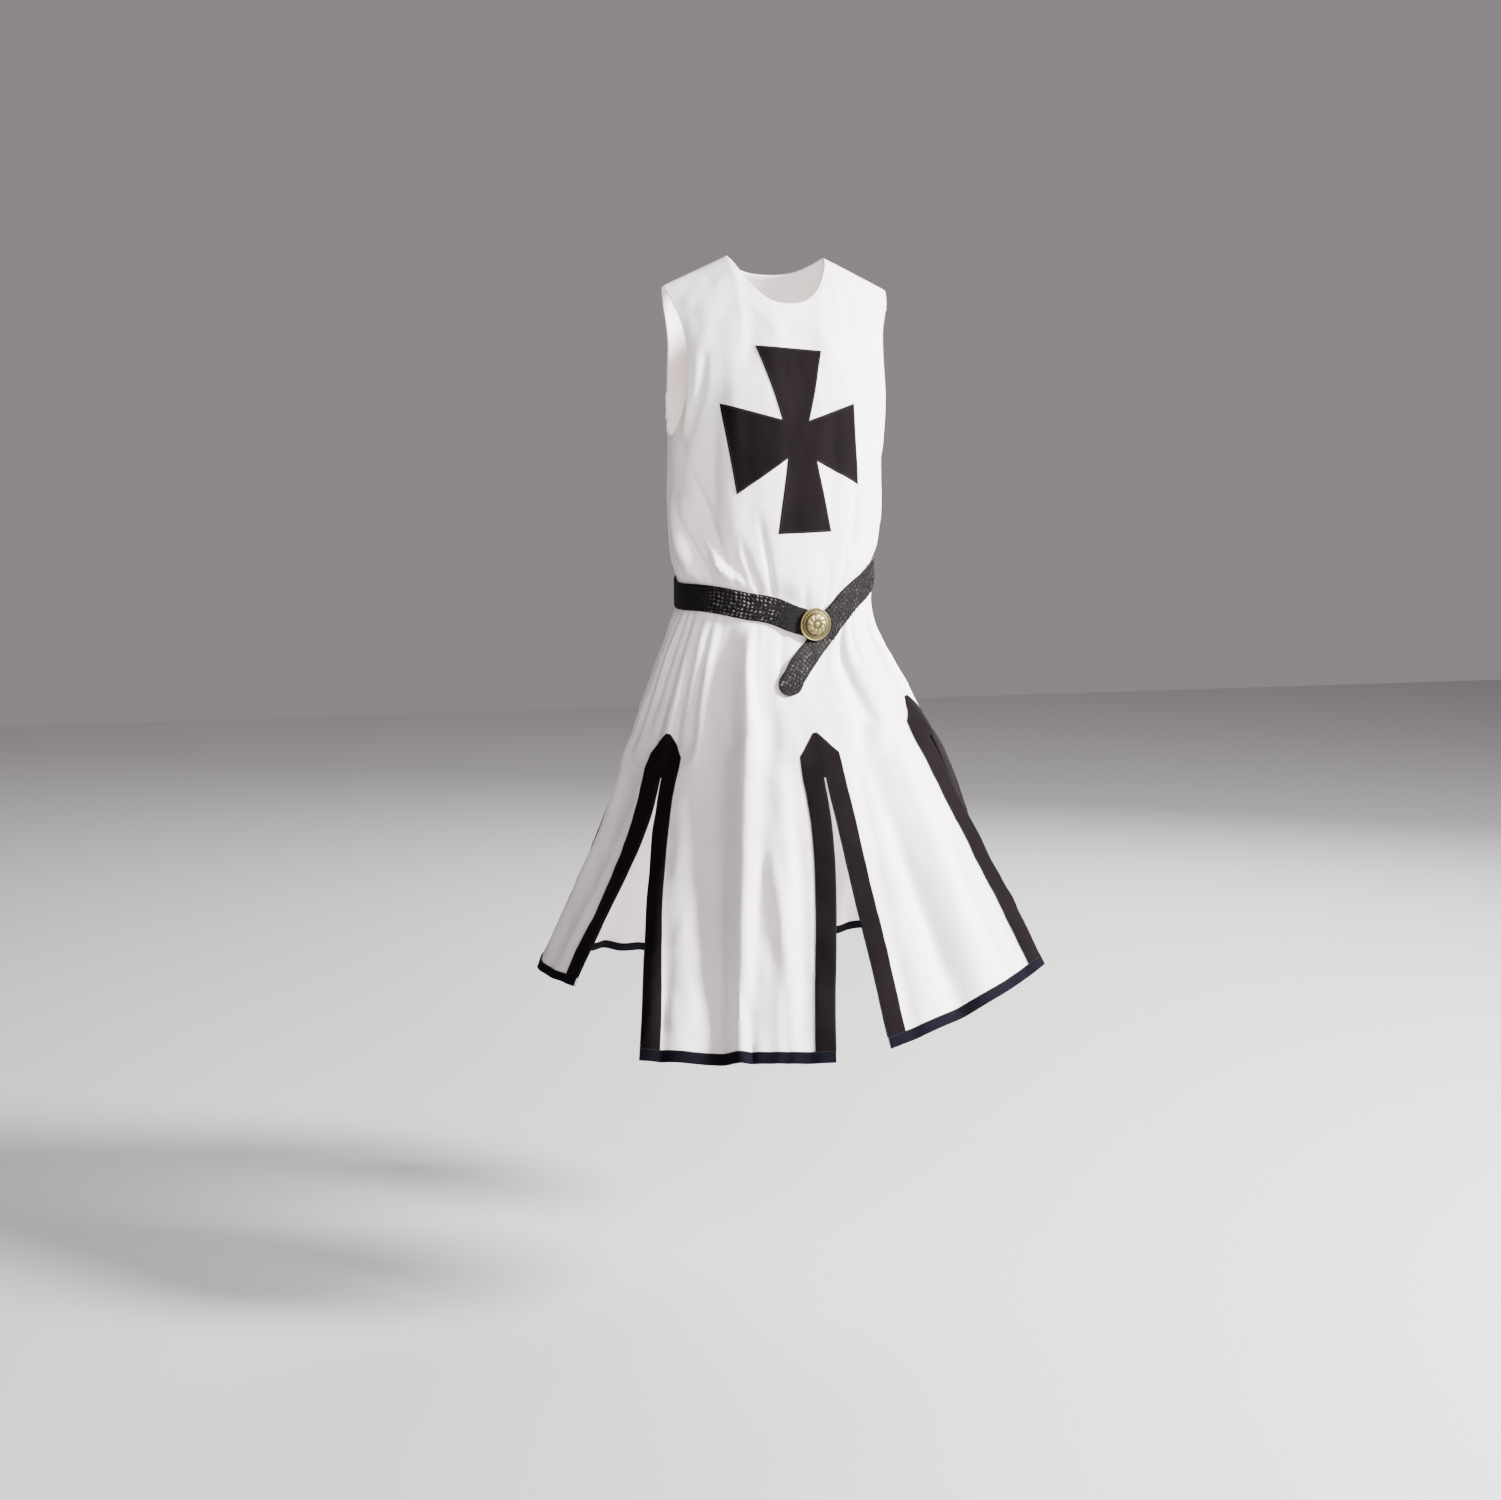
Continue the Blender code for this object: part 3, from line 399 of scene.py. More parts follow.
def ring(angle, level):
    """Points of the wall between the underarm and the start of the slits.

    Under the belt the wall keeps one size, so that the strap lies flat on it.
    """
    angle, level = np.broadcast_arrays(np.asarray(angle, float), np.asarray(level, float))
    rad = np.radians(angle)
    held = np.where((level > BELT_TOP) & (level < BELT_BOTTOM), BELT_TOP, level)
    size = ring_sizes(held)
    depth = np.where(np.cos(rad) > 0, size["front"], size["back"])
    x = size["middle"] + size["half_width"] * signed_power(np.sin(rad), 2 / size["roundness"])
    y = -depth * signed_power(np.cos(rad), 2 / size["roundness"])
    lines = line_heights(angle)
    line = np.clip(np.floor(level), UNDERARM, CORNER).astype(int)
    top = np.take_along_axis(lines, line[None], axis=0)[0]
    bottom = np.take_along_axis(lines, line[None] + 1, axis=0)[0]
    return np.stack([x, y, top + (bottom - top) * (level - line)], axis=-1)


def shoulder_height(x):
    return -SHOULDER_FALL * np.clip(np.abs(x) - NECK_HALF, 0, None) / (SHOULDER_HALF - NECK_HALF)


def upper(angle, level, side):
    """Points of the chest or back, from the underarm up to the shoulder seam and neck."""
    rise = -level
    rad = np.radians(angle)
    depth = getattr(RINGS[0], side)
    fraction = signed_power(np.sin(rad), 2 / RINGS[0].roundness)
    edge = smooth(column(ARMHOLE, "rise"), column(ARMHOLE, "half_width"), rise)
    reach = smooth(column(ARMHOLE, "rise"), column(ARMHOLE, "reach"), rise)
    top_x = SHOULDER_HALF * fraction
    neck = -NECK_DROP[side] * np.clip(1 - np.abs(top_x / NECK_HALF) ** NECK_CURVE, 0, 1)
    x = edge * fraction
    z = ARMPIT + (np.minimum(shoulder_height(top_x), neck) - ARMPIT) * rise
    drop = np.clip((shoulder_height(x) - z) / SHOULDER_ROUND, 0, 1)
    drop = np.where(drop < TINY, 0, drop)
    bulge = (1 - (1 - drop) ** SHOULDER_CURVE) ** (1 / SHOULDER_CURVE)
    power = RINGS[0].roundness
    across = np.clip(1 - np.abs(fraction / reach) ** power, 0, 1) ** (1 / power)
    y = depth * bulge * across * (-1 if side == "front" else 1)
    return np.stack([x, y, z], axis=-1)


def slit_edges(panel):
    """Angles of a panel's two edges, half a slit's starting width inside its ends."""
    half = math.degrees(SLIT_START / 2 / RINGS[-1].half_width)
    return panel.start + half, panel.end - half


def skirt(panel, u, drop):
    """Points of one hanging panel: u runs along the hem, drop from the slit's start down."""
    u = np.asarray(u, float)
    start_angle, end_angle = slit_edges(panel)
    angle = start_angle + (end_angle - start_angle) * u
    first, last = np.array(panel.first_corner), np.array(panel.last_corner)
    out = unit(np.cross(last - first, (0, 0, 1)))
    start = ring(angle, CUT)
    end = first + (last - first) * u[:, None] + out * (panel.bow * 4 * u * (1 - u))[:, None]
    chord = end - start
    lead = unit(start - ring(angle, POINT)) * np.linalg.norm(chord, axis=1, keepdims=True)
    s = drop
    return (
        start * (1 + 2 * s) * (1 - s) ** 2
        + end * s * s * (3 - 2 * s)
        + lead * s * (1 - s) ** 2
        - chord * s * s * (1 - s)
    )


def trim_share(panel, drop):
    """The share of a panel's width that one trim strip covers."""
    ends = skirt(panel, [0.0, 1.0], drop)
    return TRIM_WIDTH / np.linalg.norm(ends[1] - ends[0])


def place_across(panel, s, level):
    """Turn a column's place across a panel into a share u of the panel's width."""
    share = trim_share(panel, max(level - CUT, 0))
    return np.interp(s, [0, 1, 2, FAR_EDGE], [0, share, 1 - share, 1])


def place_of_angle(panel, angle):
    start, end = slit_edges(panel)
    share = trim_share(panel, 0)
    across = (angle - start) / (end - start)
    return float(np.interp(across, [0, share, 1 - share, 1], [0, 1, 2, FAR_EDGE]))


def fold_depth(angle, level):
    """How far the folds move the wall out at these angles."""
    total = np.zeros_like(angle)
    for fold in FOLDS:
        along = (level - fold.start_level) / (fold.end_level - fold.start_level)
        if 0 < along < 1:
            middle = fold.start_angle + (fold.end_angle - fold.start_angle) * along
            away = (turned(angle) - turned(middle)) / fold.width
            fade = FOLD_FADE if fold.width > CREASE_WIDTH else CREASE_FADE
            total = total + fold.depth * math.sin(math.pi * along) ** fade * np.exp(-away * away)
    return total


def under_strap(angle, level):
    """1 where the strap or its hanging tail holds the cloth down, fading to 0 beside it."""
    belt = np.interp(level, *zip(*BELT_HOLDS))
    away = (turned(angle) - np.interp(level, *zip(*TAIL_LINE))) / TAIL_HALF
    tail = np.exp(-away ** 4) * np.interp(level, *zip(*TAIL_HOLDS))
    return np.maximum(belt, tail * (level > BELT_BOTTOM))


def waves(points, places):
    """Uneven waves of hanging cloth, and the pucker beside the sewn trims."""
    depth = np.zeros(points.shape[:2])
    for i, row in enumerate(points):
        for j, (x, y, z) in enumerate(row):
            broad = noise.noise(Vector((x / WAVE_WIDE, y / WAVE_WIDE, z / WAVE_LONG)))
            fine = noise.noise(Vector((x / RIPPLE_WIDE, y / RIPPLE_WIDE, z / RIPPLE_LONG)))
            depth[i, j] = broad * WAVE_DEPTH + fine * RIPPLE_DEPTH
    for j, s in enumerate(places):
        sewn = math.exp(-((min(abs(s - 1), abs(s - 2)) / PUCKER_REACH) ** 2))
        for i, z in enumerate(points[:, j, 2]):
            if sewn > PUCKER_LEAST and LEVELS[i] > POINT:
                pucker = noise.noise(Vector((round(s), z / PUCKER_LONG, PUCKER_SEED)))
                depth[i, j] += sewn * PUCKER_DEPTH * pucker
    return depth


def even(first, last, count):
    return list(np.linspace(first, last, count + 1)[:-1])


LEVELS = [-(1 - (k / TOP_ROWS) ** SHOULDER_CURVE) for k in range(TOP_ROWS)] + UNDERARM_ROWS
for line, count in enumerate(ROW_COUNTS):
    LEVELS += even(line, min(line + 1, BAND_LINE), count)
LEVELS += BAND_ROWS


def columns_between(panel, first, last, stops=()):
    """Places of a panel's columns, with one at each stop and even steps between."""
    start, end = slit_edges(panel)
    strips = STRIP_COLUMNS + [FAR_EDGE - s for s in STRIP_COLUMNS]
    fixed = sorted({first, last, *[s for s in (*strips, *stops) if first <= s <= last]})
    places = [fixed[0]]
    for a, b in zip(fixed, fixed[1:]):
        wide = (place_across(panel, b, CUT) - place_across(panel, a, CUT)) * (end - start)
        steps = max(1, math.ceil(wide / COLUMN_STEP)) if a >= 1 and b <= 2 else 1
        places += [a + (b - a) * k / steps for k in range(1, steps + 1)]
    return places


def normals_of(points):
    """Unit directions out of the wall at every point of a grid."""
    across = np.gradient(points, axis=1)
    down = np.gradient(points, axis=0)
    return unit(np.cross(down, across))


def panel_grid(panel, places, side):
    """Points of one panel and of the cloth above it, a row for each level."""
    rows = []
    folds = []
    start, end = slit_edges(panel)
    for level in LEVELS:
        u = place_across(panel, places, level)
        angle = start + (end - start) * u
        if level > CUT:
            rows.append(skirt(panel, u, level - CUT))
        elif level >= UNDERARM:
            rows.append(ring(angle, level))
        else:
            rows.append(upper(angle, level, side))
        folds.append((fold_depth(angle, level), under_strap(angle, level)))
    points = np.array(rows)
    out = normals_of(points)
    depth = np.array([fold for fold, _ in folds]) + waves(points, places)
    held = np.array([strap for _, strap in folds])
    near_seam = np.interp(-np.array(LEVELS), [SHOULDER_CALM, 1], [0, 1])[:, None]
    depth = (depth - held * np.clip(depth, 0, None)) * (1 - near_seam)
    return points + out * depth[:, :, None]


Length = namedtuple("Length", "points normals places slits spread")


def share_seams(front, back):
    """Make the walls meet squarely, a gap apart, along the side and shoulder seams."""
    below = [i for i, level in enumerate(LEVELS) if level >= UNDERARM]
    for here, there in ((0, -1), (-1, 0)):
        middle = (front.points[below, here] + back.points[below, there]) / 2
        front.points[below, here] = middle
        back.points[below, there] = middle
        both = unit(front.normals[below, here] + back.normals[below, there])
        front.normals[below, here] = both
        back.normals[below, there] = both
    for length, toward in ((front, -1), (back, 1)):
        seam = np.abs(length.points[0, :, 1]) < TINY
        length.normals[0, seam, 1] = 0
        length.normals[0, seam] = unit(length.normals[0, seam])
        length.points[0, seam, 1] += toward * GAP / 2
        for edge in (0, -1):
            length.points[1:, edge, 1] += toward * GAP / 2


def spread_flat(points, middle):
    """Each point's place on the flat cloth: across from a middle column, and down."""
    steps = np.linalg.norm(np.diff(points, axis=1), axis=2)
    across = np.concatenate([np.zeros((len(points), 1)), np.cumsum(steps, axis=1)], axis=1)
    across = across - across[:, middle:middle + 1]
    drops = np.linalg.norm(np.diff(points, axis=0), axis=2)
    down = np.concatenate([np.zeros((1, points.shape[1])), np.cumsum(drops, axis=0)])
    return np.stack([across, -down], axis=2)


def both_lengths():
    """The grids of the front and the back, with the normals shared along their seams."""
    neck = math.degrees(math.asin((NECK_HALF / SHOULDER_HALF) ** (RINGS[0].roundness / 2)))
    right = place_of_angle(PANEL["side_right"], RIGHT_SEAM)
    left = place_of_angle(PANEL["side_left"], LEFT_SEAM)
    plan = {
        "front": [("side_right", right, FAR_EDGE, right + SEAM_REACH),
                  ("front_right", 0, FAR_EDGE, -neck),
                  ("front_left", 0, FAR_EDGE, neck),
                  ("side_left", 0, left, left - SEAM_REACH)],
        "back": [("side_left", left, FAR_EDGE, left + SEAM_REACH),
                 ("back_left", 0, FAR_EDGE, 180 - neck),
                 ("back_right", 0, FAR_EDGE, 180 + neck),
                 ("side_right", 0, right, right - SEAM_REACH)],
    }
    lengths = {}
    for side, stretches in plan.items():
        grids, normals, places = [], [], []
        for name, first, last, stop in stretches:
            middle = name.startswith(("front", "back"))
            stops = (place_of_angle(PANEL[name], stop),) if middle else (stop,)
            across = columns_between(PANEL[name], first, last, stops)
            grid = panel_grid(PANEL[name], across, side)
            grids.append(grid)
            normals.append(normals_of(grid))
            places += [(name, s) for s in across]
        slits = list(np.cumsum([g.shape[1] for g in grids])[:-1] - 1)
        points = np.concatenate(grids, axis=1)
        lengths[side] = Length(points, np.concatenate(normals, axis=1), places, slits,
                               spread_flat(points, slits[1]))
    share_seams(lengths["front"], lengths["back"])
    return lengths


def edge_distances(length):
    """How far each point lies from the turned edges, and from the plain seams."""
    across, down = length.spread[:, :, 0], -length.spread[:, :, 1]
    to_side = np.minimum(np.abs(across - across[:, :1]), np.abs(across - across[:, -1:]))
    above = np.array(LEVELS)[:, None] < UNDERARM
    neck = np.abs(length.points[0, :, 0]) < NECK_HALF + TINY
    turned_edge = np.where(above, to_side, np.inf)
    turned_edge = np.minimum(turned_edge, np.where(neck[None, :], down, np.inf))
    seam = np.where(above, np.where(neck[None, :], np.inf, down), to_side)
    return turned_edge, seam


def cells(grid, wanted=lambda i, j: True):
    """Corners of a grid's cells: all of them, or those that are wanted."""
    rows, columns = grid.shape[:2]
    return [(i * columns + j, (i + 1) * columns + j, (i + 1) * columns + j + 1, i * columns + j + 1)
            for i in range(rows - 1) for j in range(columns - 1) if wanted(i, j)]


def is_cut(length, i, j):
    return j in length.slits and LEVELS[i + 1] > CUT


def add_object(name, data):
    obj = bpy.data.objects.new(name, data)
    bpy.context.scene.collection.objects.link(obj)
    return obj


def shell(name, low, high, faces, mat, spread, sharp=SHARP):
    """A closed wall between two layers of points that share the same faces.

    spread gives each point's place on the flat cloth, in metres, for the weave.
    """
    used = sorted({v for face in faces for v in face})
    index = {v: k for k, v in enumerate(used)}
    faces = [tuple(index[v] for v in face) for face in faces]
    count = len(used)
    edges = {(face[k - 1], face[k]) for face in faces for k in range(len(face))}
    rim = sorted((a, b) for a, b in edges if (b, a) not in edges)
    walls = [(b, a, a + count, b + count) for a, b in rim]
    inside = [tuple(v + count for v in reversed(face)) for face in faces]
    mesh = bpy.data.meshes.new(name)
    mesh.from_pydata(np.concatenate([high[used], low[used]]).tolist(), [], faces + inside + walls)
    mesh.materials.append(mat)
    corner = np.empty(len(mesh.loops), dtype=np.int32)
    mesh.loops.foreach_get("vertex_index", corner)
    places = np.concatenate([spread[used], spread[used]])[corner]
    mesh.uv_layers.new(name="cloth").data.foreach_set("uv", places.ravel().astype(np.float32))
    mesh.shade_smooth()
    mesh.set_sharp_from_angle(angle=math.radians(sharp))
    return add_object(name, mesh)


def linear(colour):
    """An sRGB hex value as linear light."""
    parts = [int(colour[k:k + 2], 16) / 255 for k in (1, 3, 5)]
    return (*[c / 12.92 if c <= 0.04045 else ((c + 0.055) / 1.055) ** 2.4 for c in parts], 1)


def fill(tree, node, inputs):
    """Set or link each of a node's inputs."""
    for key, value in inputs.items():
        if isinstance(value, bpy.types.NodeSocket):
            tree.links.new(value, node.inputs[key])
        else:
            node.inputs[key].default_value = value


def add_node(tree, kind, settings=None, inputs=None):
    """Add a node with its settings and its inputs."""
    made = tree.nodes.new(kind)
    for key, value in (settings or {}).items():
        setattr(made, key, value)
    fill(tree, made, inputs or {})
    return made


def maths(tree, operation, *values, clamp=False):
    """One sum on numbers or on other nodes' results."""
    return add_node(tree, "ShaderNodeMath", {"operation": operation, "use_clamp": clamp},
                    dict(enumerate(values))).outputs[0]


def rescale(tree, value, first, last, low=0.0, high=1.0):
    """Turn a value that runs from first to last into one that runs from low to high."""
    return add_node(tree, "ShaderNodeMapRange", None,
                    {"Value": value, "From Min": first, "From Max": last,
                     "To Min": low, "To Max": high}).outputs["Result"]


def clouds(tree, place, scale, detail=2.0):
    """A soft random pattern with this many marks a metre."""
    return add_node(tree, "ShaderNodeTexNoise", None,
                    {"Vector": place, "Scale": scale, "Detail": detail}).outputs["Fac"]


def blend(tree, share, first, second):
    """A colour between two sRGB hex values."""
    return add_node(tree, "ShaderNodeMix", {"data_type": "RGBA"},
                    {0: share, 6: linear(first), 7: linear(second)}).outputs[2]


def bump(tree, height, strength, distance, **under):
    """Fine relief, over another one if that is given as Normal."""
    return add_node(tree, "ShaderNodeBump", None,
                    {"Strength": strength, "Distance": distance, "Height": height,
                     **under}).outputs["Normal"]


def attribute(tree, name):
    """A number that the mesh carries at each point."""
    return add_node(tree, "ShaderNodeAttribute", {"attribute_name": name}).outputs["Fac"]


def object_place(tree):
    return add_node(tree, "ShaderNodeTexCoord").outputs["Object"]


def new_material(name):
    """A new material, its node tree and the shader of its surface."""
    mat = bpy.data.materials.new(name)
    mat.use_nodes = True
    return mat, mat.node_tree, mat.node_tree.nodes["Principled BSDF"]


# Patterns on the cloth, in marks a metre: slubs 1.4 mm wide and 22 mm long, uneven bleaching
# 90 mm across, and small crumples of 14 mm.
SLUBS = (700, 45, 1)
BLEACHES = 11.0
CRUMPLES = 70.0


def woven_cloth(name, pale, dark, patchy, thread, relief, sheen):
    """Plain-woven cotton: warp and weft that cross over and under, slubs and a soft nap.

    To the eye it is quite matt, with a faint grain and no shine.  thread is the spacing
    drawn, in metres: about twice the real one, so that the weave shows close up.
    """
    mat, tree, surface = new_material(name)
    place = add_node(tree, "ShaderNodeUVMap", {"uv_map": "cloth"}).outputs["UV"]
    solid = object_place(tree)
    threads = add_node(tree, "ShaderNodeVectorMath", {"operation": "SCALE"},
                       {0: place, "Scale": 1 / thread}).outputs["Vector"]
    count = add_node(tree, "ShaderNodeSeparateXYZ", None, {"Vector": threads})
    crowns = []
    for way in ("X", "Y"):
        wave = maths(tree, "SINE", maths(tree, "MULTIPLY", count.outputs[way], math.pi))
        crowns.append(maths(tree, "ABSOLUTE", wave))
    over = add_node(tree, "ShaderNodeTexChecker", None,
                    {"Vector": threads, "Scale": 1.0}).outputs["Fac"]
    weave = add_node(tree, "ShaderNodeMix", {"data_type": "FLOAT"},
                     {0: over, 2: crowns[0], 3: crowns[1]}).outputs[0]
    slub_place = add_node(tree, "ShaderNodeMapping", None,
                          {"Vector": place, "Scale": SLUBS}).outputs["Vector"]
    slubs = clouds(tree, slub_place, 1.0)
    bleached = clouds(tree, solid, BLEACHES, 4.0)
    mixed = maths(tree, "MULTIPLY_ADD", slubs, 0.35, bleached)
    share = rescale(tree, mixed, 0.45, 0.95, 0.0, patchy)
    creased = bump(tree, clouds(tree, solid, CRUMPLES, 3.0), 0.35, 0.0012)
    raised = bump(tree, weave, relief, thread * 0.3, Normal=creased)
    fill(tree, surface, {"Base Color": blend(tree, share, pale, dark), "Normal": raised,
                         "Roughness": 0.92, "Specular IOR Level": 0.06,
                         "Sheen Weight": sheen, "Sheen Roughness": 0.6})
    return mat


# Stitches: two and a half to a centimetre, beside the inner side of a turned edge.  The
# thread's twist is drawn 0.7 mm long.
STITCH_LENGTH = 0.0030
STITCH_WIDTH = 0.0007
STITCH_PITCH = 0.0040
STITCH_SEAT = 0.0001
STITCH_SEED = 5
NECK_STITCH = 0.0075
ARMHOLE_STITCH = 3
SHOULDER_END = 4
TWISTS = 1500.0


def sewing_thread(name, pale, dark):
    """Spun cotton sewing thread: matt, with a fine light and dark twist along it."""
    mat, tree, surface = new_material(name)
    twist = clouds(tree, object_place(tree), TWISTS)
    fill(tree, surface, {"Base Color": blend(tree, twist, pale, dark), "Roughness": 0.7})
    return mat


def node_group(name, places, sizes, material, result):
    """A Geometry Nodes group with its sockets, and what comes in by them."""
    group = bpy.data.node_groups.new(name, "GeometryNodeTree")
    sockets = [(places, "Geometry"), *[(size, "Float") for size in sizes], ("Seed", "Int"),
               (material, "Material")]
    for socket, kind in sockets:
        group.interface.new_socket(socket, in_out="INPUT", socket_type=f"NodeSocket{kind}")
    group.interface.new_socket(result, in_out="OUTPUT", socket_type="NodeSocketGeometry")
    return group, add_node(group, "NodeGroupInput").outputs


def carried(group, name, kind="FLOAT_VECTOR"):
    """What each point carries under this name."""
    return add_node(group, "GeometryNodeInputNamedAttribute", {"data_type": kind},
                    {"Name": name}).outputs["Attribute"]


def place_copies(group, points, shape, rotation, scale, material, result):
    """Set a copy of the shape at each point and hand them over as one smooth mesh."""
    placed = add_node(group, "GeometryNodeInstanceOnPoints", None,
                      {"Points": points, "Instance": shape, "Rotation": rotation, "Scale": scale})
    real = add_node(group, "GeometryNodeRealizeInstances", None,
                    {"Geometry": placed.outputs["Instances"]})
    round_off = add_node(group, "GeometryNodeSetShadeSmooth", None,
                         {"Geometry": real.outputs["Geometry"], "Shade Smooth": True})
    done = add_node(group, "GeometryNodeSetMaterial", None,
                    {"Geometry": round_off.outputs["Geometry"], "Material": material})
    add_node(group, "NodeGroupOutput", None, {result: done.outputs["Geometry"]})


def sewing_tree():
    """Geometry Nodes: one small stitch at each step along a path, lying on the cloth."""
    group, given = node_group("sewing", "Path", ("Pitch", "Stitch Length", "Stitch Width"),
                              "Thread", "Stitches")
    path = add_node(group, "GeometryNodeMeshToCurve", None, {"Mesh": given["Path"]})
    steps = add_node(group, "GeometryNodeResampleCurve", {"mode": "LENGTH"},
                     {"Curve": path.outputs["Curve"], "Length": given["Pitch"]})
    along = add_node(group, "GeometryNodeInputTangent")
    turned_along = add_node(group, "FunctionNodeAlignRotationToVector", {"axis": "X"},
                            {"Vector": along.outputs[0]})
    turned_out = add_node(group, "FunctionNodeAlignRotationToVector",
                          {"axis": "Z", "pivot_axis": "X"},
                          {"Rotation": turned_along.outputs[0],
                           "Vector": carried(group, "out")})
    stitch = add_node(group, "GeometryNodeMeshUVSphere", None,
                      {"Segments": 5, "Rings": 4, "Radius": 0.5})
    uneven = add_node(group, "FunctionNodeRandomValue", {"data_type": "FLOAT"},
                      {2: 0.85, 3: 1.1, "Seed": given["Seed"]})
    long = maths(group, "MULTIPLY", given["Stitch Length"], uneven.outputs[1])
    size = add_node(group, "ShaderNodeCombineXYZ", None,
                    {"X": long, "Y": given["Stitch Width"], "Z": given["Stitch Width"]})
    place_copies(group, steps.outputs["Curve"], stitch.outputs["Mesh"], turned_out.outputs[0],
                 size.outputs[0], given["Thread"], "Stitches")
    return group


def settle(obj, tree, values):
    """Run a node tree on an object once and keep its result as a plain mesh."""
    run = obj.modifiers.new("repeat", "NODES")
    run.node_group = tree
    for item in tree.interface.items_tree:
        if item.item_type == "SOCKET" and item.in_out == "INPUT" and item.name in values:
            run[item.identifier] = values[item.name]
    drawn = obj.evaluated_get(bpy.context.evaluated_depsgraph_get())
    mesh = bpy.data.meshes.new_from_object(drawn)
    obj.modifiers.clear()
    obj.data = mesh
    return obj


sewing = sewing_tree()


def sew(name, paths, thread):
    """Stitches along paths, each a list of places and the directions out of the cloth."""
    points = np.concatenate([place + out * STITCH_SEAT for place, out in paths])
    outs = np.concatenate([out for _, out in paths])
    edges = []
    start = 0
    for place, _ in paths:
        edges += [(start + k, start + k + 1) for k in range(len(place) - 1)]
        start += len(place)
    mesh = bpy.data.meshes.new(name)
    mesh.from_pydata(points.tolist(), edges, [])
    mesh.attributes.new("out", "FLOAT_VECTOR", "POINT").data.foreach_set("vector", outs.ravel())
    obj = add_object(name, mesh)
    settle(obj, sewing, {"Pitch": STITCH_PITCH, "Stitch Length": STITCH_LENGTH,
                         "Stitch Width": STITCH_WIDTH, "Seed": STITCH_SEED, "Thread": thread})
    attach(obj, "root")
    return obj


def edge_paths(length):
    """Where the turned edges of the armholes and the neck are sewn down."""
    above = [i for i, level in enumerate(LEVELS) if level < UNDERARM][SHOULDER_END:]
    paths = [(length.points[above, j], length.normals[above, j])
             for j in (ARMHOLE_STITCH, -1 - ARMHOLE_STITCH)]
    neck = [j for j in range(length.points.shape[1]) if abs(length.points[0, j, 0]) < NECK_HALF]
    below = -length.spread[:, neck[len(neck) // 2], 1]
    row = int(np.argmax(below > NECK_STITCH))
    return paths + [(length.points[row, neck], length.normals[row, neck])]


# A warm bleached white, hardly shaded by its weave, sewn with a slightly darker thread.
white_cotton = woven_cloth("thick_white_cotton", "#fbf4f2", "#eadfde", 0.6, 0.0009, 0.35, 0.05)
white_thread = sewing_thread("white_cotton_thread", "#ebe6df", "#c5c0b9")

# Each length's flat cut: its width, its length and its area.
Cut = namedtuple("Cut", "width length area")
CUTS = {"front": Cut(1.09, 1.16, 0.66), "back": Cut(1.07, 1.15, 0.64)}

lengths = both_lengths()
for side, length in lengths.items():
    turned_edge, seam = edge_distances(length)
    thick = WALL + TURNED_WALL * np.clip((TURNED_EDGE + EDGE_STEP - turned_edge) / EDGE_STEP, 0, 1)
    rolled = SEAM_DIP * np.exp(-((seam / SEAM_WIDE) ** 2))
    rounded = EDGE_ROUND * np.clip(1 - turned_edge / EDGE_STEP, 0, 1) ** 2
    high = length.points - length.normals * (rolled + rounded)[:, :, None]
    low = length.points - length.normals * (thick + rolled * SEAM_INSIDE - rounded)[:, :, None]
    faces = cells(length.points, lambda i, j: not is_cut(length, i, j))
    cloth = shell(f"{side}_cloth", flat(low), flat(high), faces, white_cotton, flat(length.spread))
    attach(cloth, "root")
    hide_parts(side)
    stitches = sew(f"{side}_edge_stitches", edge_paths(length), white_thread)
    cut = CUTS[side]


# Cross: black cotton with flared arms, laid flat on the chest with its edges turned under.
# It follows every crease of the cloth that it is sewn to.
CROSS_CLEAR = 0.0004
CROSS_THICKNESS = 0.001
CROSS_GRID = 0.0035
CROSS_EDGE = 0.0009
EDGE_LEFT = 0.35
CHEST_TOP = -0.95
CHEST_READINGS, READING_SOFT = 4, 1e-4
SLICE_LEAST = 1e-5

# The cross's corners in order, on a plane in front of the chest.
Corner = namedtuple("Corner", "name x z")
CROSS = [
    Corner("top_right", -0.058, -0.134),
    Corner("neck_right", -0.0245, -0.240),
    Corner("arm_right_top", -0.110, -0.217),
    Corner("arm_right_foot", -0.089, -0.348),
    Corner("waist_right", -0.0155, -0.296),
    Corner("foot_right", -0.031, -0.405),
    Corner("foot_left", 0.053, -0.402),
    Corner("waist_left", 0.029, -0.300),
    Corner("arm_left_foot", 0.099, -0.334),
    Corner("arm_left_top", 0.089, -0.216),
    Corner("neck_left", 0.018, -0.241),
    Corner("top_left", 0.039, -0.141),
]
CROSS_INSET = 0.0025
SEAM_STEPS = 24

# Dyed black with a faint brown-violet cast, its weave filled by a brushed nap, sewn with a
# thread that catches a little more light.
BLACK_THREAD = 0.0008
black_cotton = woven_cloth("black_napped_cotton", "#140e10", "#0c080a", 1.0, BLACK_THREAD, 0.3,
                           0.0)
black_thread = sewing_thread("black_cotton_thread", "#2a2428", "#1d191b")


def outline_cuts(margin):
    """Upright planes just inside each edge of the cross."""
    cuts = []
    for k, corner in enumerate(CROSS):
        last = CROSS[k - 1]
        along = Vector((corner.x - last.x, 0, corner.z - last.z)).normalized()
        inward = Vector((along.z, 0, -along.x))
        middle = Vector(((corner.x + last.x) / 2, 0, (corner.z + last.z) / 2))
        if not inside_cross(middle.x + inward.x * margin, middle.z + inward.z * margin):
            inward = -inward
        cuts.append((middle + inward * margin, inward))
    return cuts


def inside_cross(x, z):
    inside = False
    for k, corner in enumerate(CROSS):
        last = CROSS[k - 1]
        if (corner.z > z) != (last.z > z):
            crossing = last.x + (z - last.z) / (corner.z - last.z) * (corner.x - last.x)
            inside = inside != (x < crossing)
    return inside


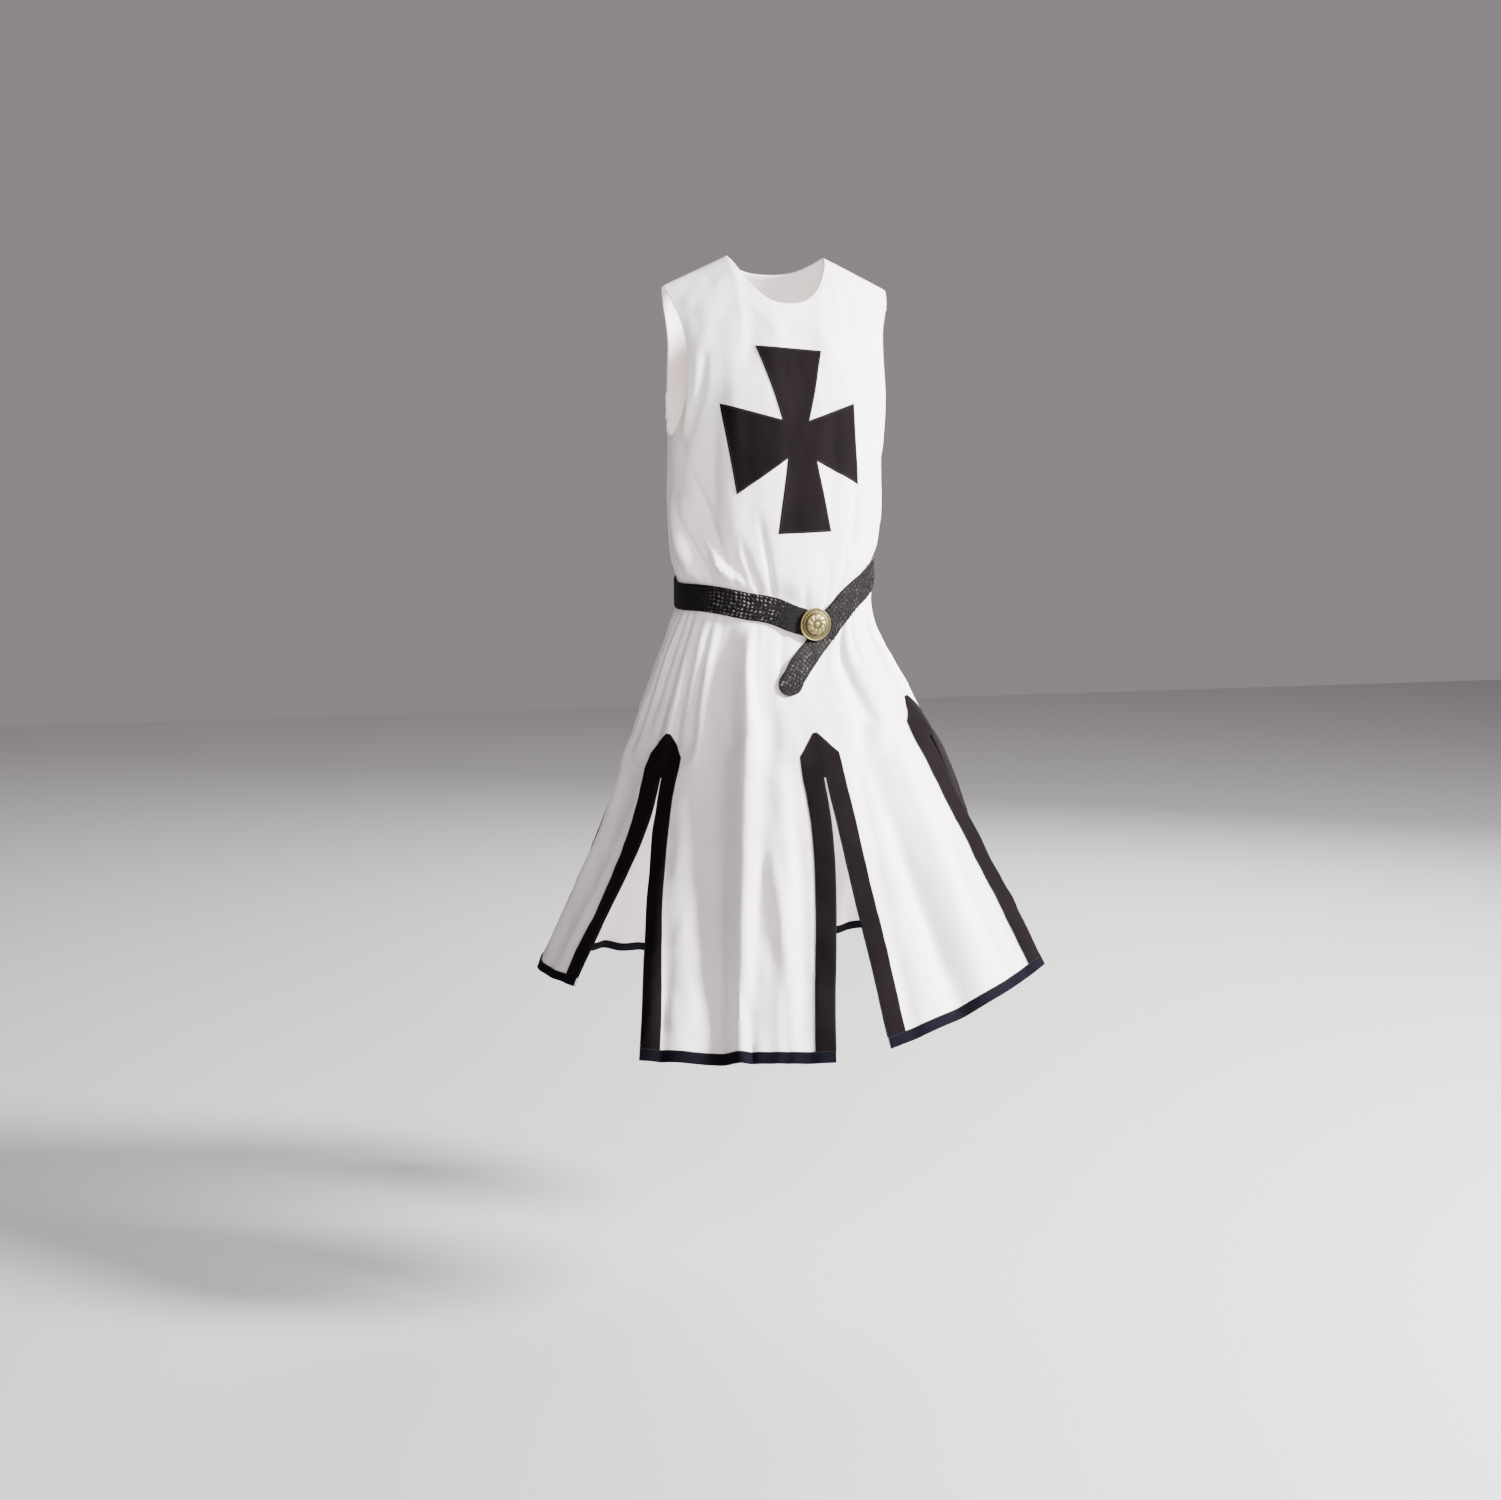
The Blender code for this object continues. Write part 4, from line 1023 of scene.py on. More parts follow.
def from_outline(x, z):
    """Distance from a place on the chest to the cross's outline."""
    best = 1.0
    for k, corner in enumerate(CROSS):
        last = CROSS[k - 1]
        along = Vector((corner.x - last.x, corner.z - last.z))
        away = Vector((x - last.x, z - last.z))
        share = min(max(away.dot(along) / along.length_squared, 0), 1)
        best = min(best, (away - along * share).length)
    return best


class Chest:
    """Finds the cloth's outer face and its direction straight behind a place on the chest."""

    def __init__(self, length):
        points = flat(length.points)
        faces = cells(length.points, lambda i, j: CHEST_TOP < LEVELS[i] < BELT_TOP)
        self.wall = BVHTree.FromPolygons(points.tolist(), faces)
        self.near = KDTree(len(points))
        for k, point in enumerate(points):
            self.near.insert(point, k)
        self.near.balance()
        self.out = flat(length.normals)

    def at(self, x, z):
        place = self.wall.ray_cast(Vector((x, -1, z)), Vector((0, 1, 0)))[0]
        found = self.near.find_n(place, CHEST_READINGS)
        out = sum((Vector(self.out[k]) / (gap + READING_SOFT) for _, k, gap in found), Vector())
        return place, out.normalized()


chest = Chest(lengths["front"])
bm = bmesh.new()
bm.faces.new([bm.verts.new((corner.x, 0, corner.z)) for corner in CROSS])
xs, zs = column(CROSS, "x"), column(CROSS, "z")
planes = [(Vector((x, 0, 0)), Vector((1, 0, 0))) for x in np.arange(min(xs), max(xs), CROSS_GRID)]
planes += [(Vector((0, 0, z)), Vector((0, 0, 1))) for z in np.arange(min(zs), max(zs), CROSS_GRID)]
for place, way in planes + outline_cuts(CROSS_EDGE):
    bmesh.ops.bisect_plane(bm, geom=bm.verts[:] + bm.edges[:] + bm.faces[:], dist=SLICE_LEAST,
                           plane_co=place, plane_no=way)
bm.verts.index_update()
bm.normal_update()
low, high, spread = [], [], []
for vert in bm.verts:
    place, out = chest.at(vert.co.x, vert.co.z)
    full = min(from_outline(vert.co.x, vert.co.z) / CROSS_EDGE, 1)
    thick = CROSS_THICKNESS * (EDGE_LEFT + (1 - EDGE_LEFT) * full)
    low.append(place + out * CROSS_CLEAR)
    high.append(place + out * (CROSS_CLEAR + thick))
    spread.append((vert.co.x, vert.co.z))
faces = [tuple(vert.index for vert in face.verts) for face in bm.faces]
if bm.faces[:][0].normal.y > 0:
    faces = [tuple(reversed(face)) for face in faces]
bm.free()
cross = shell("chest_cross", np.array(low), np.array(high), faces, black_cotton, np.array(spread))
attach(cross, "root")
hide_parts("cross")


def cross_seam():
    """Places just inside the cross's outline, and the directions out of it."""
    line = []
    for k, corner in enumerate(CROSS):
        last = CROSS[k - 1]
        line += [(last.x + (corner.x - last.x) * share, last.z + (corner.z - last.z) * share)
                 for share in np.linspace(0, 1, SEAM_STEPS)[:-1]]
    line = np.array(line)
    places, outs = [], []
    for k, (x, z) in enumerate(line):
        ahead = line[(k + 1) % len(line)] - line[k - 1]
        ahead = ahead / np.linalg.norm(ahead) * CROSS_INSET
        side = 1 if inside_cross(x + ahead[1], z - ahead[0]) else -1
        place, out = chest.at(x + ahead[1] * side, z - ahead[0] * side)
        places.append(place + out * (CROSS_CLEAR + CROSS_THICKNESS))
        outs.append(out)
    return np.array(places + places[:1]), np.array(outs + outs[:1])


stitches = sew("cross_stitches", [cross_seam()], black_thread)


# Slit trims: a strip of the same black cotton down each edge of a slit, the two joined
# under a pointed top.  They are sewn flat, with their edges turned under.
TRIM_THICKNESS = 0.001
TRIM_EDGE = 0.0005
TRIM_TIP = 0.05
TRIM_FOOT = 0.00005
TRIM_SEAM_ROW = 3
TURNING_STEP = 0.002

# Where the strip's turning lies, round the cloth's cut edge and up its inside: out of the
# cloth and past the edge, for the face against the cloth and then for the one that shows.
Turning = namedtuple("Turning", "low_out low_past high_out high_past")
TURNINGS = [
    Turning(0.0003, 0.0002, 0.0008, 0.0003),
    Turning(-WALL / 2, 0.0002, -WALL / 2, 0.0009),
    Turning(-WALL - 0.0002, 0.0001, -WALL - 0.0008, 0.0004),
    Turning(-WALL - 0.0002, -0.0060, -WALL - 0.0007, -0.0060),
]


def row_reader(length, name):
    """Reads a panel's points, directions and flat places at any place across it."""
    chosen = [j for j, (panel, _) in enumerate(length.places) if panel == name]
    at = [length.places[j][1] for j in chosen]
    layers = np.concatenate([length.points, length.normals, length.spread], axis=2)[:, chosen]

    def read(i, places):
        found = np.stack([np.interp(places, at, layer) for layer in layers[i].T], axis=1)
        point, out, spread = np.split(found, [3, 6], axis=1)
        return point, unit(out), spread

    return read


def trim_rows(length, slit):
    """The rows of a slit's two strips, from the pointed top down to the hem band."""
    before = row_reader(length, length.places[slit][0])
    after = row_reader(length, length.places[slit + 1][0])
    first = LEVELS.index(POINT)
    last = LEVELS.index(BAND_LINE)
    shares = np.array(STRIP_COLUMNS)
    rows = []
    for i in range(first, last + 1):
        reach = np.interp(LEVELS[i], [POINT, CORNER], [TRIM_TIP, 1])
        left = before(i, FAR_EDGE - shares[::-1] * reach)
        right = after(i, shares * reach)
        rows.append([np.concatenate(pair) for pair in zip(left, right)])
    points, out, spread = (np.array([row[k] for row in rows]) for k in range(3))
    points[-1] += unit(points[-2] - points[-1]) * TRIM_FOOT
    return points, out, spread, LEVELS[first:last + 1]


def turning(edge, out, past, spread, start, reverse):
    """One edge's turning: its two layers, its flat places and its faces."""
    low = np.stack([edge + out * t.low_out + past * t.low_past for t in TURNINGS], axis=1)
    high = np.stack([edge + out * t.high_out + past * t.high_past for t in TURNINGS], axis=1)
    places = np.stack([spread + (k * TURNING_STEP, 0) for k in range(len(TURNINGS))], axis=1)
    faces = [tuple(start + v for v in face) for face in cells(low)]
    if reverse:
        faces = [face[::-1] for face in faces]
    return flat(low), flat(high), flat(places), faces


def trim_seams(high, out, open_from):
    """Down each strip, one seam near its outer edge and one near the slit."""
    half = high.shape[1] // 2
    seams = [(high[TRIM_SEAM_ROW:, j], out[TRIM_SEAM_ROW:, j]) for j in (1, high.shape[1] - 2)]
    return seams + [(high[open_from:, j], out[open_from:, j]) for j in (half - 2, half + 1)]


# Each trim's cut: its two strips with their turnings, side by side.
TRIM_CUTS = [
    Cut(0.074, 0.470, 0.0328),
    Cut(0.074, 0.489, 0.0342),
    Cut(0.074, 0.462, 0.0322),
    Cut(0.074, 0.450, 0.0313),
    Cut(0.074, 0.526, 0.0370),
    Cut(0.074, 0.452, 0.0315),
]
number = 0
for side, length in lengths.items():
    for slit in length.slits:
        number += 1
        points, out, spread, levels = trim_rows(length, slit)
        rows, columns = points.shape[:2]
        half = columns // 2
        thin = np.zeros((rows, columns))
        thin[:, [0, -1]] = TRIM_EDGE
        thin[-1] = TRIM_EDGE
        open_rows = np.array(levels) > CUT
        thin[np.ix_(open_rows, [half - 1, half])] = TRIM_EDGE
        low = points + out * GAP
        high = points + out * (GAP + TRIM_THICKNESS - thin)[:, :, None]
        faces = cells(points, lambda i, j: not (j == half - 1 and levels[i + 1] > CUT))
        parts = [(flat(low), flat(high), flat(spread), faces)]
        open_from = int(np.argmax(open_rows)) - 1
        for edge, inner in ((half - 1, half - 2), (half, half + 1)):
            past = unit(points[open_from:, edge] - points[open_from:, inner])
            parts.append(turning(points[open_from:, edge], out[open_from:, edge], past,
                                 spread[open_from:, edge], sum(len(part[0]) for part in parts),
                                 edge == half))
        low, outer, places = (np.concatenate(layer) for layer in list(zip(*parts))[:3])
        faces = [face for part in parts for face in part[3]]
        trim = shell(f"slit_strip_{number}", low, outer, faces, black_cotton, places)
        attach(trim, "root")
        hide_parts(f"slit_trim_{number}")
        seams = trim_seams(high, out, open_from + 1)
        stitches = sew(f"slit_stitches_{number}", seams, black_thread)
        cut = TRIM_CUTS[number - 1]


# Hem bands: a narrow dark navy binding folded round each panel's lower edge and sewn
# through, so that it shows outside and inside.
BAND_THICKNESS = 0.001
BAND_EDGE = 0.0005
BAND_LEAN = 0.8

# Bias-cut cotton tape, dyed so dark a navy that its blue shows only in strong light.
navy_binding = woven_cloth("dark_navy_binding", "#0e0d17", "#08070d", 1.0, BLACK_THREAD, 0.3,
                           0.0)


def hem_rows(name):
    """The last rows of a panel, joined across the side seam."""
    first = LEVELS.index(BAND_LINE)
    parts = []
    for side in ("front", "back") if name == "side_left" else ("back", "front"):
        length = lengths[side]
        chosen = [j for j, (panel, _) in enumerate(length.places) if panel == name]
        if chosen:
            parts.append([grid[first:, chosen].copy()
                          for grid in (length.points, length.normals, length.spread)])
    if len(parts) == 1:
        return parts[0]
    ahead, behind = parts
    ahead[0][:, -1] = (ahead[0][:, -1] + behind[0][:, 0]) / 2
    behind[2] += ahead[2][:, -1:] - behind[2][:, :1]
    return [np.concatenate([a, b[:, 1:]], axis=1) for a, b in zip(ahead, behind)]


# Each binding's cut, in the panels' order: along the hem, and round it.
BAND_CUTS = [
    Cut(0.270, 0.031, 0.0083),
    Cut(0.335, 0.031, 0.0103),
    Cut(0.343, 0.031, 0.0106),
    Cut(0.320, 0.031, 0.0099),
    Cut(0.332, 0.031, 0.0102),
    Cut(0.318, 0.031, 0.0098),
]
for number, (panel, cut) in enumerate(zip(PANELS, BAND_CUTS), 1):
    points, out, spread = hem_rows(panel.name)
    down = unit(points[-1] - points[-2]) * BAND_LEAN
    inner = points - out * WALL
    route = [(points[k], out[k], spread[k]) for k in range(len(points) - 1)]
    route += [(points[-1], out[-1] + down, spread[-1])]
    route += [(inner[-1], down - out[-1], spread[-1] - (0, WALL))]
    route += [(inner[k], -out[k], 2 * spread[-1] - spread[k])
              for k in reversed(range(len(points) - 1))]
    thin = np.zeros(len(route))
    thin[[0, -1]] = BAND_EDGE
    low = np.array([place + way * GAP for place, way, _ in route])
    high = np.array([place + way * (GAP + BAND_THICKNESS - less)
                     for (place, way, _), less in zip(route, thin)])
    band = shell(f"hem_binding_{number}", flat(low), flat(high), cells(high), navy_binding,
                 flat(np.array([place for _, _, place in route])))
    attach(band, "root")
    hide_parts(f"hem_band_{number}")
    stitches = sew(f"hem_stitches_{number}", [(high[1], out[1])], black_thread)


# Belt strap: thick dark leather, its ends cut round, embossed with slanting rows of small
# scales whose tops have worn pale.  It is plain beside the buckle and on the right hip.
BELT_WIDTH = 0.040
BELT_THICKNESS = 0.003
BELT_READINGS = 40
BELT_REACH = 0.006
TURN_STEP, RISE_STEP = 1, 0.004
TAIL_LENGTH = 0.120
TAIL_TAPER = 0.15
STRAP_STEP = 0.0025
STRAP_TIP = (0.0004, 0.0012, 0.0024, 0.0042, 0.0066, 0.0096, 0.0130, 0.0170)
STRAP_SHARES = (-1, -0.97, -0.9, -0.8, -0.6, -0.3, 0, 0.3, 0.6, 0.8, 0.9, 0.97, 1)
STRAP_DROPS = (0.0012, 0.0004, 0, 0.0002, 0, 0, 0, 0, 0, 0.0002, 0, 0.0004, 0.0012)
STRAP_SHARP = 60

# Scales: lanes along the strap, each scale a little out of line, fainter where the pattern
# runs out beside the plain stretches.
SCALE_LANES = 3
SCALE_PITCH = 0.0062
SCALE_ACROSS = 0.0056
SCALE_SLANT = 0.62
SCALE_LENGTH, SCALE_WIDE, SCALE_HIGH = 0.0062, 0.0040, 0.0010
SCALE_STRAY = 0.0009
SCALE_FADE, SCALE_FAINT = 0.022, 0.45
SCALE_START, SCALE_END, SCALE_CLEAR = 0.004, 0.003, 0.002
SCALE_ROOM = 0.55
SCALE_SUNK = 0.0002
SCALE_SEED = 11
PLAIN_RUNS = [(-0.01, 0.056), (0.178, 0.290)]

# How far the scales' tops are rubbed pale, by the run along the strap; the least worn of
# them has WEAR_LEAST of that.
WEAR_LEAST = 0.3
Wear = namedtuple("Wear", "run share")
WEARS = [
    Wear(0.056, 0.55),
    Wear(0.080, 0.85),
    Wear(0.125, 1.00),
    Wear(0.178, 0.35),
    Wear(0.300, 0.40),
    Wear(0.420, 0.75),
    Wear(0.520, 0.45),
    Wear(0.660, 0.30),
    Wear(0.790, 0.22),
    Wear(0.860, 0.40),
    Wear(0.960, 0.60),
]

# The strap's middle line from the buckle round the tabard's right side and the back, under
# the buckle again and down to its tip: how far it hangs below the belt's line, and how far
# it stands off the cloth.
Strap = namedtuple("Strap", "angle below off")
STRAP = [
    Strap(10.6, 0.001, 0.0044),
    Strap(7, -0.002, 0.0044),
    Strap(2.5, -0.001, 0.0044),
    Strap(-3, 0.000, 0.0038),
    Strap(-10, 0.000, 0.0014),
    Strap(-18, 0.000, 0.0008),
    Strap(-40, 0.000, 0.0008),
    Strap(-90, 0.000, 0.0008),
    Strap(-150, 0.000, 0.0008),
    Strap(-210, 0.000, 0.0008),
    Strap(-270, 0.000, 0.0008),
    Strap(-320, 0.000, 0.0008),
    Strap(-336, 0.000, 0.0008),
    Strap(-340, 0.001, 0.0008),
    Strap(-346, 0.014, 0.0010),
    Strap(-353.5, 0.047, 0.0012),
    Strap(-359, 0.074, 0.0016),
    Strap(-366.5, 0.114, 0.0018),
]


def wall_spot(angle, height):
    """The smooth wall's points at angles and heights between the underarm and the slits."""
    lines = line_heights(angle)
    line = np.clip((height < lines).sum(axis=0) - 1, UNDERARM, BELT_BOTTOM)
    top = np.take_along_axis(lines, line[None], axis=0)[0]
    bottom = np.take_along_axis(lines, line[None] + 1, axis=0)[0]
    return ring(angle, np.clip(line + (top - height) / (top - bottom), UNDERARM, POINT))


def wall_out(angle, height):
    """The directions straight out of the smooth wall there."""
    across = wall_spot(angle + TURN_STEP, height) - wall_spot(angle - TURN_STEP, height)
    up = wall_spot(angle, height + RISE_STEP) - wall_spot(angle, height - RISE_STEP)
    return unit(np.cross(across, up))


keys = np.arange(len(STRAP))
fine = np.linspace(0, len(STRAP) - 1, BELT_READINGS * len(STRAP))
line_angle, line_below, line_off = (smooth(keys, column(STRAP, name), fine)
                                    for name in Strap._fields)
line_height = round_height("belt", turned(line_angle)) - line_below
line_spots = wall_spot(line_angle, line_height)
line_run = np.cumsum(np.concatenate([[0], np.linalg.norm(np.diff(line_spots, axis=0), axis=1)]))
strap_length = line_run[-1]


def strap_spots(run, across):
    """Places on the strap's back face, the directions out of it and along it."""
    angle, height, off = (np.interp(run, line_run, values)
                          for values in (line_angle, line_height, line_off))
    before, after = (wall_spot(np.interp(run + way, line_run, line_angle),
                               np.interp(run + way, line_run, line_height))
                     for way in (-BELT_REACH, BELT_REACH))
    out = wall_out(angle, height)
    side = unit(np.cross(out, after - before))
    step = wall_spot(angle + 1, height) - wall_spot(angle, height)
    turn = (side * step).sum(axis=-1) / (step * step).sum(axis=-1)
    at_angle, at_height = angle + turn * across, height + side[:, 2] * across
    base, way = wall_spot(at_angle, at_height), wall_out(at_angle, at_height)
    return base + way * off[:, None], way, unit(np.cross(side, way))


def strap_half(run):
    """Half the strap's width: narrower down the tail, and round at both ends."""
    tail = np.clip(1 - (strap_length - run) / TAIL_LENGTH, 0, None)
    wide = BELT_WIDTH * (1 - TAIL_TAPER * tail)
    round_part = 1 - np.clip(np.minimum(run, strap_length - run) / (BELT_WIDTH / 2), 0, 1)
    return wide / 2 * np.sqrt(1 - round_part ** 2)


# Patterns on the leather, in marks a metre: patches of wear 11 mm across, scuffs of 2.4 mm
# and pores 0.9 mm apart, which is about twice the real distance, so that they show.
WORN_PATCHES = 95.0
SCUFFS = 420.0
PORES = 1100.0


def embossed_leather():
    """Bark-tanned belt leather, dyed near black; the raised parts are rubbed to a pale grey.

    To the eye it is dull and dry, with a weak sheen only where the light grazes it.
    """
    mat, tree, surface = new_material("dyed_belt_leather")
    solid = object_place(tree)
    patches = rescale(tree, clouds(tree, solid, WORN_PATCHES, 3.0), 0.42, 0.62, 0.05, 1.0)
    used = maths(tree, "MULTIPLY", attribute(tree, "wear"), patches)
    worn = maths(tree, "MULTIPLY", attribute(tree, "rub"), used)
    scuffs = maths(tree, "MULTIPLY_ADD", clouds(tree, solid, SCUFFS, 3.0), 0.22, -0.10, clamp=True)
    shown = maths(tree, "ADD", worn, scuffs, clamp=True)
    grain = add_node(tree, "ShaderNodeTexVoronoi", {"feature": "DISTANCE_TO_EDGE"},
                     {"Vector": solid, "Scale": PORES}).outputs["Distance"]
    fill(tree, surface, {"Base Color": blend(tree, shown, "#0c0a0a", "#7f7c79"),
                         "Roughness": rescale(tree, shown, 0.0, 1.0, 0.6, 0.8),
                         "Normal": bump(tree, grain, 0.3, 0.0004), "Specular IOR Level": 0.07})
    return mat


def scale_tree():
    """Geometry Nodes: one low pointed scale at each point of the strap's face."""
    sizes = ("Scale Length", "Scale Width", "Scale Height")
    group, given = node_group("embossing", "Places", sizes, "Leather", "Scales")
    turned_out = add_node(group, "FunctionNodeAlignRotationToVector", {"axis": "Z"},
                          {"Vector": carried(group, "out")})
    turned_along = add_node(group, "FunctionNodeAlignRotationToVector",
                            {"axis": "X", "pivot_axis": "Z"},
                            {"Rotation": turned_out.outputs[0],
                             "Vector": carried(group, "along")})
    dome = add_node(group, "GeometryNodeMeshCone", None,
                    {"Vertices": 7, "Side Segments": 2, "Radius Top": 0.16, "Radius Bottom": 0.5,
                     "Depth": 1.0})
    place = add_node(group, "GeometryNodeInputPosition")
    height = add_node(group, "ShaderNodeSeparateXYZ", None, {"Vector": place.outputs[0]})
    rub = add_node(group, "GeometryNodeStoreNamedAttribute", {"data_type": "FLOAT"},
                   {"Geometry": dome.outputs["Mesh"], "Name": "rub",
                    "Value": rescale(group, height.outputs["Z"], 0.1, 0.9)})
    uneven = add_node(group, "FunctionNodeRandomValue", {"data_type": "FLOAT"},
                      {2: 0.78, 3: 1.12, "Seed": given["Seed"]})
    size = add_node(group, "ShaderNodeCombineXYZ", None,
                    {axis: given[name] for axis, name in zip("XYZ", sizes)})
    pressed = maths(group, "MULTIPLY", uneven.outputs[1], carried(group, "depth", "FLOAT"))
    sized = add_node(group, "ShaderNodeVectorMath", {"operation": "SCALE"},
                     {0: size.outputs[0], "Scale": pressed})
    place_copies(group, given["Places"], rub.outputs["Geometry"], turned_along.outputs[0],
                 sized.outputs[0], given["Leather"], "Scales")
    return group


leather = embossed_leather()
runs = np.arange(STRAP_TIP[-1], strap_length - STRAP_TIP[-1], STRAP_STEP)
runs = np.concatenate([STRAP_TIP, runs[1:], strap_length - np.array(STRAP_TIP)[::-1]])
half = strap_half(runs)
low, high, spread = [], [], []
for share, drop in zip(STRAP_SHARES, STRAP_DROPS):
    base, out, _ = strap_spots(runs, half * share)
    low.append(base)
    high.append(base + out * (BELT_THICKNESS - drop))
    spread.append(np.stack([runs, half * share], axis=1))
low, high, spread = (np.stack(rows, axis=1) for rows in (low, high, spread))
faces = [(a, d, c, b) for a, b, c, d in cells(low)]
strap = shell("strap_leather", flat(low), flat(high), faces, leather, flat(spread), STRAP_SHARP)
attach(strap, "root")
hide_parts("belt_strap")

chance = np.random.default_rng(SCALE_SEED)
places, outs, alongs, depths, wears = [], [], [], [], []
for lane in range(-SCALE_LANES, SCALE_LANES + 1):
    across = lane * SCALE_ACROSS
    start = SCALE_START + SCALE_PITCH / 2 * (lane % 2)
    lane_runs = np.arange(start, strap_length - SCALE_END, SCALE_PITCH)
    lane_runs = lane_runs + abs(across) * SCALE_SLANT
    lane_runs = lane_runs + chance.uniform(-1, 1, len(lane_runs)) * SCALE_STRAY
    lane_runs = lane_runs[lane_runs < strap_length - SCALE_CLEAR]
    inside = np.abs(across) < strap_half(lane_runs) - SCALE_ACROSS * SCALE_ROOM
    for first, last in PLAIN_RUNS:
        inside &= (lane_runs < first) | (lane_runs > last)
    lane_runs = lane_runs[inside]
    from_plain = np.min([np.maximum(first - lane_runs, lane_runs - last)
                         for first, last in PLAIN_RUNS], axis=0)
    depths.append(np.interp(from_plain, [0, SCALE_FADE], [SCALE_FAINT, 1]))
    wears.append(np.interp(lane_runs, *zip(*WEARS))
                 * chance.uniform(WEAR_LEAST, 1, len(lane_runs)))
    strays = across + chance.uniform(-1, 1, len(lane_runs)) * SCALE_STRAY
    base, out, along = strap_spots(lane_runs, strays)
    side = np.cross(out, along)
    places.append(base + out * (BELT_THICKNESS - SCALE_SUNK))
    outs.append(out)
    alongs.append(unit(along + side * SCALE_SLANT * np.sign(across or 1)))
mesh = bpy.data.meshes.new("strap_scales")
mesh.from_pydata(np.concatenate(places).tolist(), [], [])
for name, ways in (("out", outs), ("along", alongs)):
    mesh.attributes.new(name, "FLOAT_VECTOR", "POINT").data.foreach_set(
        "vector", np.concatenate(ways).ravel())
for name, shares in (("depth", depths), ("wear", wears)):
    mesh.attributes.new(name, "FLOAT", "POINT").data.foreach_set("value", np.concatenate(shares))
scales = add_object("strap_scales", mesh)
settle(scales, scale_tree(), {"Scale Length": SCALE_LENGTH, "Scale Width": SCALE_WIDE,
                              "Scale Height": SCALE_HIGH, "Seed": SCALE_SEED,
                              "Leather": leather})
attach(scales, "root")


# Buckle: a round cast-brass clasp, domed, with a plain rim, a ring of beads and a rosette.
# Dark wax is left in its hollows, and the high parts are rubbed bright.
BUCKLE_ANGLE, BUCKLE_HEIGHT = 8.6, -0.537
BUCKLE_SIDES = 144
BUCKLE_STEPS = 70
BUCKLE_TOP = 0.0093
BEADS = 34
PETALS = 9
SWIRL = 0.9
BEAD_RING, BEAD_WIDE, BEAD_HIGH = 0.0190, 0.0012, 0.0006
PETAL_RING, PETAL_WIDE, PETAL_HIGH = 0.0112, 0.0046, 0.0009
PETAL_ROUND = 0.6
BOSS_RADIUS, BOSS_HIGH = 0.0038, 0.0007
DOME_FROM = 0.7
RIM_WIDE = 0.0012
RUB_MOST = 0.75

# Outline from the edge of its flat back, round the rim, to the top of its dome.
Turn = namedtuple("Turn", "radius height")
BUCKLE = [
    Turn(0.0230, 0.0000),
    Turn(0.0242, 0.0010),
    Turn(0.0242, 0.0026),
    Turn(0.0228, 0.0039),
    Turn(0.0213, 0.0031),
    Turn(0.0200, 0.0039),
    Turn(0.0155, 0.0069),
    Turn(0.0092, 0.0086),
    Turn(0.0000, BUCKLE_TOP),
]
RIM = BUCKLE[3]

# Brown patches of old wax on the brass, in marks a metre: each 4 mm across.
WAX_PATCHES = 260.0


def aged_brass():
    """Cast brass, waxed and aged: brown in the hollows, rubbed to a dull gold above."""
    mat, tree, surface = new_material("aged_cast_brass")
    patches = clouds(tree, object_place(tree), WAX_PATCHES, 4.0)
    shown = maths(tree, "MULTIPLY_ADD", patches, 0.7, attribute(tree, "rub"), clamp=True)
    share = rescale(tree, shown, 0.25, 1.0)
    fill(tree, surface, {"Base Color": blend(tree, share, "#332b1a", "#7f7550"),
                         "Roughness": rescale(tree, share, 0.0, 1.0, 0.7, 0.42),
                         "Normal": bump(tree, patches, 0.2, 0.0003), "Metallic": 0.95})
    return mat


profile = np.linspace(0, len(BUCKLE) - 1, BUCKLE_STEPS)
radii = np.interp(profile, np.arange(len(BUCKLE)), column(BUCKLE, "radius"))[:-1]
heights = smooth(np.arange(len(BUCKLE)), column(BUCKLE, "height"), profile)[:-1]
spot = np.array([BUCKLE_ANGLE]), np.array([BUCKLE_HEIGHT])
out = Vector(wall_out(*spot)[0])
seat = Vector(wall_spot(*spot)[0]) + out * (STRAP[0].off + BELT_THICKNESS + GAP)
turn_to = out.to_track_quat("Z", "Y")
bm = bmesh.new()
rub_of = {}
rings = []
for radius, height in zip(radii, heights):
    verts = []
    for k in range(BUCKLE_SIDES):
        angle = 2 * math.pi * k / BUCKLE_SIDES
        bead = math.exp(-(((radius - BEAD_RING) / BEAD_WIDE) ** 2))
        bead = bead * abs(math.sin(BEADS / 2 * angle))
        reach = (radius - PETAL_RING) / PETAL_WIDE
        swirl = PETALS / 2 * (angle + SWIRL * radius / BEAD_RING)
        petal = max(1 - reach * reach, 0) ** 0.5 * abs(math.cos(swirl)) ** PETAL_ROUND
        boss = max(1 - (radius / BOSS_RADIUS) ** 2, 0) ** 0.5
        dome = height > RIM.height * DOME_FROM and radius < RIM.radius
        raised = (bead * BEAD_HIGH + petal * PETAL_HIGH + boss * BOSS_HIGH) * dome
        local = Vector((radius * math.cos(angle), radius * math.sin(angle), height + raised))
        vert = bm.verts.new(seat + turn_to @ local)
        rim = math.exp(-(((radius - RIM.radius) / RIM_WIDE) ** 2))
        rub_of[vert] = min(max(bead, petal, boss) * dome + rim, 1) * RUB_MOST
        verts.append(vert)
    rings.append(verts)
top = bm.verts.new(seat + out * (BUCKLE_TOP + BOSS_HIGH))
rub_of[top] = RUB_MOST
for here, there in zip(rings, rings[1:]):
    for k in range(BUCKLE_SIDES):
        n = (k + 1) % BUCKLE_SIDES
        bm.faces.new((here[k], here[n], there[n], there[k]))
for k in range(BUCKLE_SIDES):
    bm.faces.new((rings[-1][k], rings[-1][(k + 1) % BUCKLE_SIDES], top))
